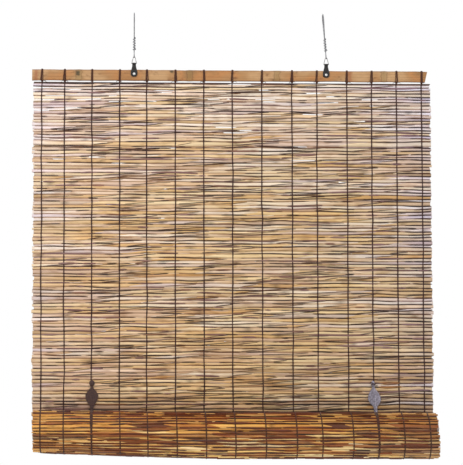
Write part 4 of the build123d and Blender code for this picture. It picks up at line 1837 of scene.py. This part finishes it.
@dataclass
class HeadRail:
    """The slat at the top and the yarn that ties the sheet to it."""

    sizes: Sizes
    lean: Lean
    nodes: tuple[float, ...]
    slant: float = 6 * MM
    seed: int = 31
    leg_radius: float = 0.85 * MM
    top_half: float = 1.5 * MM
    foot_half: float = 3.1 * MM
    clear: float = 0.9 * MM
    knot: Triple = (3.0 * MM, 2.4 * MM, 2.2 * MM)

    def build(self, finish: Material, yarn: Material) -> None:
        """Builds the slat and a tie at every string.

        Args:
            finish: The slat's material.
            yarn: The ties' material.
        """
        low, high = self.lean.box("head_rail")
        flush_low, flush_high = self.lean.box("bottom_batten")
        flush = flush_high - flush_low
        middle = (low + high) / 2
        low.y, high.y = middle.y - flush.y / 2, middle.y + flush.y / 2
        rise = (high.z - low.z - flush.z) / 2
        low.z, high.z = low.z + rise, high.z - rise
        slat = Slat(low, high, self.seed, self.slant, self.nodes)
        attach(self.lean.hang(slat.build("rail_slat", finish)), Body.BLIND, "bamboo_slat", "head_rail")
        draw = np.random.default_rng(self.seed)
        for number, across in enumerate(self.sizes.strings, 1):
            tie = self.tie(across, low, high, yarn, draw)
            tie.name = tie.data.name = f"string_tie_{number:02d}"
            attach(self.lean.hang(tie), Body.BLIND, "warp_yarn", f"rail_tie_{number:02d}")

    def leg(self, foot: float, top: float, low: Vector, high: Vector) -> Array:
        """The path of one loop of yarn round the rail, from the knot in front to the knot behind.

        Args:
            foot: How far aside the loop lies at its knots.
            top: How far aside it lies over the rail.
            low: The rail's lowest corner.
            high: The rail's highest corner.

        Returns:
            The points of the path.
        """
        front, back = low.y - self.clear, high.y + self.clear
        above, below = high.z + self.clear, low.z - self.clear
        middle = (low.y + high.y) / 2
        corners = [
            (foot * 0.2, middle - 0.5 * MM, below - 0.6 * MM),
            (foot, front, below + 1.5 * MM),
            (top, front, above),
            (top, back, above),
            (foot, back, below + 1.5 * MM),
            (foot * 0.2, middle + 0.5 * MM, below - 0.6 * MM),
        ]
        return rounded(corners, 32, 3 * MM)

    def tie(self, across: float, low: Vector, high: Vector, yarn: Material, draw: Chance) -> Piece:
        """Builds one tie: two or three loops that spread towards the sheet, a knot and stray ends.

        Args:
            across: The string's place across the sheet.
            low: The rail's lowest corner.
            high: The rail's highest corner.
            yarn: Its material.
            draw: Where the chances come from.

        Returns:
            The tie.
        """
        bundle = Bundle()
        wide = self.foot_half * draw.uniform(0.6, 1.15)
        skew = draw.uniform(-1.6, 0.8) * MM
        loops = [(skew - wide, -self.top_half), (skew + wide, self.top_half)]
        loops.append((skew + draw.uniform(-1, 1) * MM, draw.uniform(-0.4, 0.4) * MM))
        loops.append((skew + draw.choice([-1, 1]) * 0.5 * wide, 0.3 * MM))
        for foot, top in loops:
            spread = draw.uniform(0.85, 1.1)
            path = self.leg(foot * spread, top, low, high) + np.array([across, 0, 0])
            bent_rod(bundle, path, self.leg_radius * draw.uniform(0.85, 1.1, 32))
        start = np.array([across, low.y + 0.6 * MM, low.z - 2.2 * MM])
        for _ in range(int(draw.integers(1, 4))):
            side = draw.choice([-1.0, 1.0])
            reach = draw.uniform(4, 12) * MM
            drop = draw.uniform(-2, 4) * MM
            along = np.linspace(0, 1, 12)
            curl = np.stack(
                [
                    start[0] + side * reach * np.sin(along * 1.7),
                    start[1] - 1.4 * MM * np.sin(along * math.pi),
                    start[2] - drop * along**2 + 1.2 * MM * np.sin(along * 4.5),
                ],
                1,
            )
            bent_rod(bundle, curl, np.linspace(0.55, 0.2, 12) * MM)
        loops_piece = bundle.piece("tie_loops", yarn)
        spot = (across, (low.y + high.y) / 2 - 1.2 * MM, low.z - 1.9 * MM)
        knot = primitive("ico_sphere", "tie_knot", subdivisions=3, radius=1, location=spot, scale=self.knot)
        settle(coated(knot, yarn), 60)
        for vertex in knot.data.vertices:
            vertex.co += vertex.normal * draw.normal(0, 0.18 * MM)
        return joined("tie", [loops_piece, knot])


@dataclass
class Hanger:
    """One side's wire, ring, plate and screw."""

    side: Side
    lean: Lean
    wire_radius: float = 1.35 * MM
    loop_radius: float = 16.2 * MM
    eye_radius: float = 2.4 * MM
    shank_drop: float = 96.5 * MM
    crossing: float = 46 * MM
    twist_turns: float = 5.0
    twist_length: float = 33 * MM
    shank_lean: float = 0.0
    ring_radius: float = 0.9 * MM
    dome: float = 2.2 * MM
    shank_radius: float = 1.5 * MM
    recess: Triple = (3.6 * MM, 2.4 * MM, 0.8 * MM)

    def build(self, wire: Material, steel: Material, plate: Material, bright: Material) -> None:
        """Builds all four pieces.

        Args:
            wire: The wire's material.
            steel: The ring's material.
            plate: The plate's material.
            bright: The screw's material.
        """
        low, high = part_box(self.side.node("ring"))
        middle = (low + high) / 2
        top = high.z - self.ring_radius
        base = low.z + self.ring_radius
        self.wire(middle.x, wire)
        self.ring(middle.x, (high - low).x, top, base, steel)
        self.plate(plate)
        self.screw(bright)

    def wire(self, across: float, finish: Material) -> None:
        """Bends the wire: its eye, shank and loop over the bar, with its tail wound down the shank.

        Args:
            across: How far to the right its middle lies.
            finish: Its material.
        """
        eye, loop = self.eye_radius, self.loop_radius
        turns = np.linspace(0, math.pi, 16)
        hook = [(0.0, -eye * math.cos(a), -self.shank_drop - eye * math.sin(a)) for a in turns]
        over = [(0.0, loop * math.cos(a), loop * math.sin(a)) for a in turns]
        begin = -self.crossing
        wound = []
        spin = np.linspace(0, self.twist_turns * math.tau, 84)
        radius = 2 * self.wire_radius + 0.1 * MM
        for angle in spin:
            share = angle / spin[-1]
            wound.append((radius * math.sin(angle), eye - radius * math.cos(angle), begin - self.twist_length * share))
        last = wound[-1]
        flick = (last[0] + 4 * MM, last[1] - 3 * MM, last[2] + 1.5 * MM)
        lead = [(0.0, -eye, -self.shank_drop + 6.5 * MM)]
        path = lead + hook + [(0.0, eye, begin - 4 * MM)] + over + wound + [flick]
        points = rounded(path, 230, 3.4 * MM)
        piece = bent_piece(self.side.node("bar_wire"), points, self.wire_radius, finish)
        slope = math.atan(self.shank_lean / self.shank_drop)
        foot = Vector((0, 0, -self.shank_drop))
        place = Matrix.Translation(Vector((across, 0, 0)) + foot)
        piece.data.transform(place @ Matrix.Rotation(slope, 4, "Y") @ Matrix.Translation(-foot))
        attach(piece, Body.WIRES, "galvanised_wire", self.side.node("hanging_wire"))

    def ring(self, across: float, width: float, top: float, base: float, finish: Material) -> None:
        """Bends the triangular ring.

        Args:
            across: How far to the right its middle lies.
            width: Its whole width.
            top: The height of its top's middle line.
            base: The height of its base's middle line.
            finish: Its material.
        """
        half = width / 2 - self.ring_radius
        corners = [(0.3 * MM, base), (half, base), (2 * MM, top), (-2 * MM, top), (-half, base), (-0.3 * MM, base)]
        path = rounded([(across + x, 0.0, z) for x, z in corners], 90, 3.2 * MM)
        piece = bent_piece(self.side.node("wire_ring"), path, self.ring_radius, finish)
        body = Body.LEFT_RING if self.side is Side.LEFT else Body.RIGHT_RING
        attach(piece, body, "ring_steel", self.side.node("ring"))

    def plate(self, finish: Material) -> None:
        """Softens the plate's stamped edges.

        Args:
            finish: Its material.
        """
        piece = copy_of(self.side.node("hanger_plate"), self.side.node("stamped_plate"))
        modified(piece, "BEVEL", width=0.3 * MM, segments=2, limit_method="ANGLE", angle_limit=math.radians(35))
        settle(coated(piece, finish), 35)
        attach(piece, Body.BLIND, "black_plate", self.side.node("hanger_plate"))

    def screw(self, finish: Material) -> None:
        """Turns the screw with its domed head and cuts a cross into it.

        Args:
            finish: Its material.
        """
        low, high = self.lean.box(self.side.node("hanger_screw"))
        radius = (high.x - low.x) / 2
        middle = (low + high) / 2
        face = low.y
        name = self.side.node("cross_screw")
        spot = (middle.x, face + self.dome, middle.z)
        shape = (radius, self.dome, radius)
        head = primitive("uv_sphere", name, segments=32, ring_count=16, radius=1, location=spot, scale=shape)
        embed()
        with Editing(head):
            bpy.ops.mesh.select_all(action="SELECT")
            bpy.ops.mesh.bisect(plane_co=spot, plane_no=(0, 1, 0), clear_outer=True, use_fill=True)
        shank = primitive(
            "cylinder", "screw_shank", vertices=16, radius=self.shank_radius, depth=high.y - face - 2 * MM,
            location=(middle.x, (face + 2 * MM + high.y) / 2, middle.z), rotation=(math.pi / 2, 0, 0),
        )
        settle(shank)
        bars = [
            primitive("cube", f"recess_{number}", size=1, location=(middle.x, face, middle.z), scale=scale)
            for number, scale in enumerate((self.recess, self.recess[::-1]))
        ]
        for bar in bars:
            settle(bar)
            modified(head, "BOOLEAN", object=bar, operation="DIFFERENCE", solver="EXACT")
            bpy.data.meshes.remove(bar.data)
        piece = settle(coated(joined(name, [head, shank]), finish), 35)
        attach(self.lean.hang(piece), Body.BLIND, "bright_screw", self.side.node("hanger_screw"))


def copy_of(node: str, name: str) -> Piece:
    """A copy of a solid under its own name, its loose triangles merged.

    Args:
        node: The solid.
        name: The copy's name.

    Returns:
        The copy, alone selected.
    """
    piece = placed(name, bpy.data.objects[node].data.copy())
    piece.data.name = name
    with Editing(piece):
        bpy.ops.mesh.select_all(action="SELECT")
        bpy.ops.mesh.remove_doubles(threshold=0.00001)
        bpy.ops.mesh.tris_convert_to_quads(face_threshold=math.radians(1), shape_threshold=math.radians(180))
        bpy.ops.mesh.dissolve_limited(angle_limit=math.radians(0.5))
    return piece


@dataclass
class LeafHook:
    """A cast leaf on a stem whose prong goes through the sheet: ribbed, veined and cupped."""

    side: Side
    lean: Lean
    slot: str
    fullest: float
    lean_along: float = 0.0
    knob_half: float = 6.8 * MM
    leaf_top: float = 12.5 * MM
    leaf_foot: float = 60 * MM
    aside: float = -2 * MM
    half_width: float = 16 * MM
    tail_half: float = 4.6 * MM
    neck_half: float = 3.6 * MM
    thick: float = 1.6 * MM
    cup: float = 0.6 * MM
    vein: float = 0.35 * MM
    vein_pitch: float = 5.2 * MM
    midrib: float = 0.8 * MM
    midrib_reach: float = 1.5 * MM
    prong_radius: float = 1.2 * MM

    def half_at(self, drop: float, tail: float) -> float:
        """Half the width of the leaf, its neck or its tail at a distance below the knob.

        Args:
            drop: The distance below the knob.
            tail: How far below the knob the tail ends.

        Returns:
            Half the width.
        """
        if drop < self.leaf_top:
            return self.neck_half
        if drop > self.leaf_foot:
            share = min(1.0, (drop - self.leaf_foot) / max(tail - self.leaf_foot, MM))
            return self.tail_half * (1 - 0.35 * share)
        share = (drop - self.leaf_top) / (self.leaf_foot - self.leaf_top)
        rise = share / self.fullest if share < self.fullest else (1 - share) / (1 - self.fullest)
        eased = math.sin(rise * math.pi / 2) ** 1.15
        end = self.neck_half if share < self.fullest else self.tail_half
        return end + (self.half_width - end) * eased

    def build(self, finish: Material) -> None:
        """Builds the hook upright, in the space that its solid takes, and leans it.

        Args:
            finish: Its material.
        """
        node = self.side.node("leaf_hook")
        low, high = self.lean.box(node)
        middle = (low.x + high.x) / 2 + self.aside
        knob = high.z - 6.3 * MM
        tail = knob - low.z
        front = low.y + 0.8 * MM
        blade = primitive("grid", "blade", x_subdivisions=24, y_subdivisions=72, size=1)
        for vertex in blade.data.vertices:
            across, drop = vertex.co.x * 2, (0.5 - vertex.co.y) * tail
            half = self.half_at(drop, tail)
            inside = self.leaf_top < drop < self.leaf_foot
            phase = (drop - abs(across) * half * 0.9) / self.vein_pitch * math.tau
            ribs = self.vein * math.sin(phase) if inside else 0.0
            ribs *= min(1.0, 3 * abs(across)) * (1 - across**6)
            rib = self.midrib * math.exp(-((across * half / self.midrib_reach) ** 2))
            droop = self.cup * (across * half / self.half_width) ** 2 * 2
            sway = self.lean_along * (drop / tail - 0.45)
            level = front - rib - ribs * 0.5 + droop
            vertex.co = (middle + across * half + sway, min(level, front + 1.0 * MM), knob - drop)
        settle(blade, 60)
        modified(blade, "SOLIDIFY", thickness=self.thick * 0.75, offset=-1.0)
        spot = (middle - 0.45 * self.lean_along, front, knob - 1.5 * MM)
        shape = (self.knob_half, 1.9 * MM, 7.8 * MM)
        ball = primitive("uv_sphere", "knob", segments=28, ring_count=14, radius=1, location=spot, scale=shape)
        settle(ball)
        behind = high.y - 1.2 * MM
        prong = rounded([(middle, front, knob), (middle, behind, knob), (middle, behind, knob - 13 * MM)], 24, 4 * MM)
        rod = bent_piece("prong", prong, self.prong_radius, finish)
        piece = joined(self.side.node("cast_leaf"), [blade, ball, rod])
        settle(coated(piece, finish), 50)
        attach(self.lean.hang(piece), Body.HOOKS, self.slot, node)


@dataclass
class Studio:
    """A white room: floor, sky, soft lamps and the camera."""

    floor_drop: float = 0.32
    sky: float = 0.55
    target: Triple = (0.0, 0.0, -0.6)
    eye: Triple = (-0.1739, -5.6232, -1.2222)
    yaw: float = 1.803
    pitch: float = 6.886
    lens: float = 175.0
    lamps: tuple[tuple[str, Triple, float, float], ...] = (
        ("key", (-1.9, -2.9, 1.6), 2.0, 62),
        ("fill", (2.6, -3.2, -0.3), 2.4, 26),
        ("rear", (0.4, 3.0, 1.2), 2.6, 40),
    )

    def build(self, foot: float) -> None:
        """Builds the room round an object whose lowest point is given.

        Args:
            foot: The height of the object's lowest point.
        """
        self.world()
        self.floor(foot - self.floor_drop)
        for name, place, size, power in self.lamps:
            self.lamp(name, place, size, power)
        self.camera()

    def seen(self, tree: bpy.types.NodeTree) -> Socket:
        """One where the camera, a mirror or glass looks, and nought where light is gathered.

        Args:
            tree: The node tree that it goes into.

        Returns:
            The output.
        """
        path = tree.nodes.new("ShaderNodeLightPath")
        total = path.outputs["Is Camera Ray"]
        for name in ("Is Glossy Ray", "Is Transmission Ray"):
            join = tree.nodes.new("ShaderNodeMath")
            join.operation = "MAXIMUM"
            tree.links.new(total, join.inputs[0])
            tree.links.new(path.outputs[name], join.inputs[1])
            total = join.outputs[0]
        return total

    def world(self) -> None:
        """Gives a white background and an even, weaker light."""
        world = bpy.data.worlds.new("white_room")
        bpy.context.scene.world = world
        world.use_nodes = True
        tree = world.node_tree
        plain, white = tree.nodes["Background"], tree.nodes.new("ShaderNodeBackground")
        for background, strength in ((plain, self.sky), (white, 1.0)):
            background.inputs["Color"].default_value = (1, 1, 1, 1)
            background.inputs["Strength"].default_value = strength
        mix = tree.nodes.new("ShaderNodeMixShader")
        tree.links.new(self.seen(tree), mix.inputs[0])
        tree.links.new(plain.outputs[0], mix.inputs[1])
        tree.links.new(white.outputs[0], mix.inputs[2])
        tree.links.new(mix.outputs[0], tree.nodes["World Output"].inputs["Surface"])

    def floor(self, level: float) -> None:
        """Lays a plain pale floor.

        Args:
            level: The floor's height.
        """
        floor = primitive("plane", "studio_floor", size=30, location=(0, 0, level))
        coated(floor, Shader("pale_floor", 0.8, specular=0.1).finish((0.82, 0.82, 0.81)))
        floor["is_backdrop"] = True

    def lamp(self, name: str, place: Triple, size: float, power: float) -> None:
        """Hangs a soft lamp that faces the object.

        Args:
            name: Its name.
            place: Where it hangs.
            size: Its width.
            power: Its power in watts.
        """
        light = bpy.data.lights.new(name, "AREA")
        light.size = size
        light.energy = power
        lamp = placed(name, light)
        lamp.location = place
        lamp.rotation_euler = (Vector(self.target) - Vector(place)).to_track_quat("-Z", "Y").to_euler()

    def camera(self) -> None:
        """Stands the camera where the photograph was taken."""
        data = bpy.data.cameras.new("camera")
        data.lens = self.lens
        data.sensor_width = 36
        camera = placed("camera", data)
        camera.location = self.eye
        yaw, pitch = math.radians(self.yaw), math.radians(self.pitch)
        forward = Vector((math.sin(yaw) * math.cos(pitch), math.cos(yaw) * math.cos(pitch), math.sin(pitch)))
        camera.rotation_euler = forward.to_track_quat("-Z", "Y").to_euler()
        bpy.context.scene.camera = camera


def finishes_for(nodes: tuple[float, ...]) -> dict[str, Material]:
    """Mixes every finish of the blind.

    Args:
        nodes: Where the head rail's nodes are.

    Returns:
        The materials by name.
    """
    finishes = (
        ReedFinish(),
        BambooFinish("rail_bamboo", nodes, (-0.491, 0.303), ((-0.148, -0.133), (-0.385, -0.139))),
        BambooFinish("batten_bamboo", (), ()),
        YarnFinish("warp_yarn", linear(66, 42, 40)),
        YarnFinish("tie_yarn", linear(86, 52, 38)),
        YarnFinish("coiled_yarn", linear(78, 52, 40)),
        MetalFinish("galvanised_wire", linear(160, 160, 162), linear(116, 116, 120), 0.42),
        MetalFinish("ring_steel", linear(172, 170, 170), linear(120, 116, 116), 0.4),
        MetalFinish("black_plate", linear(22, 22, 24), linear(48, 44, 42), 0.42, metallic=0.4),
        MetalFinish("bright_screw", linear(250, 250, 248), linear(224, 222, 218), 0.45, 0.5),
        # Painted shade and painted light: both leaf hooks are the same cast metal; this copy is darkened for the hook
        # in shade, and the next is pale and silvery for the hook that catches the light.
        MetalFinish("dark_bronze", linear(58, 36, 34), linear(82, 56, 46), 0.5, 0.3, 0.3 * MM),
        MetalFinish("dull_silver", linear(150, 144, 156), linear(112, 106, 116), 0.4, 0.75, 0.3 * MM),
    )
    return {finish.name: finish.material() for finish in finishes}


def main() -> None:
    """Builds the blind in the order in which it is made, then the room round it."""
    logging.basicConfig(level=logging.INFO, format="%(name)s: %(message)s")
    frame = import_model()
    solids = [list(corner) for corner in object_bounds()]
    lean = Lean.of(frame["joints"])
    sizes = Sizes.of(lean, frame["joints"])
    nodes = tuple((sizes.strings[gap - 1] + sizes.strings[gap]) / 2 for gap in RAIL_NODE_GAPS)
    mixed = finishes_for(nodes)
    ReedMat(sizes, lean).build(mixed["split_reed"], mixed["warp_yarn"])
    ReedRoll(sizes, lean).build(mixed["split_reed"], mixed["coiled_yarn"], mixed["batten_bamboo"])
    HeadRail(sizes, lean, nodes).build(mixed["rail_bamboo"], mixed["tie_yarn"])
    metals = [mixed[name] for name in ("galvanised_wire", "ring_steel", "black_plate", "bright_screw")]
    for side, shank_lean in ((Side.LEFT, 0.0), (Side.RIGHT, -7 * MM)):
        Hanger(side, lean, shank_lean=shank_lean).build(*metals)
    # The left hook takes the shaded copy of the hook metal and the right the lit copy: painted shade and painted
    # light.
    LeafHook(Side.LEFT, lean, "dark_bronze", 0.46).build(mixed["dark_bronze"])
    LeafHook(Side.RIGHT, lean, "dull_silver", 0.55, 9 * MM, 4.4 * MM).build(mixed["dull_silver"])
    Studio().build(solids[0][2])
    bpy.context.scene.view_settings.view_transform = "Standard"


if __name__ == "__main__":
    main()
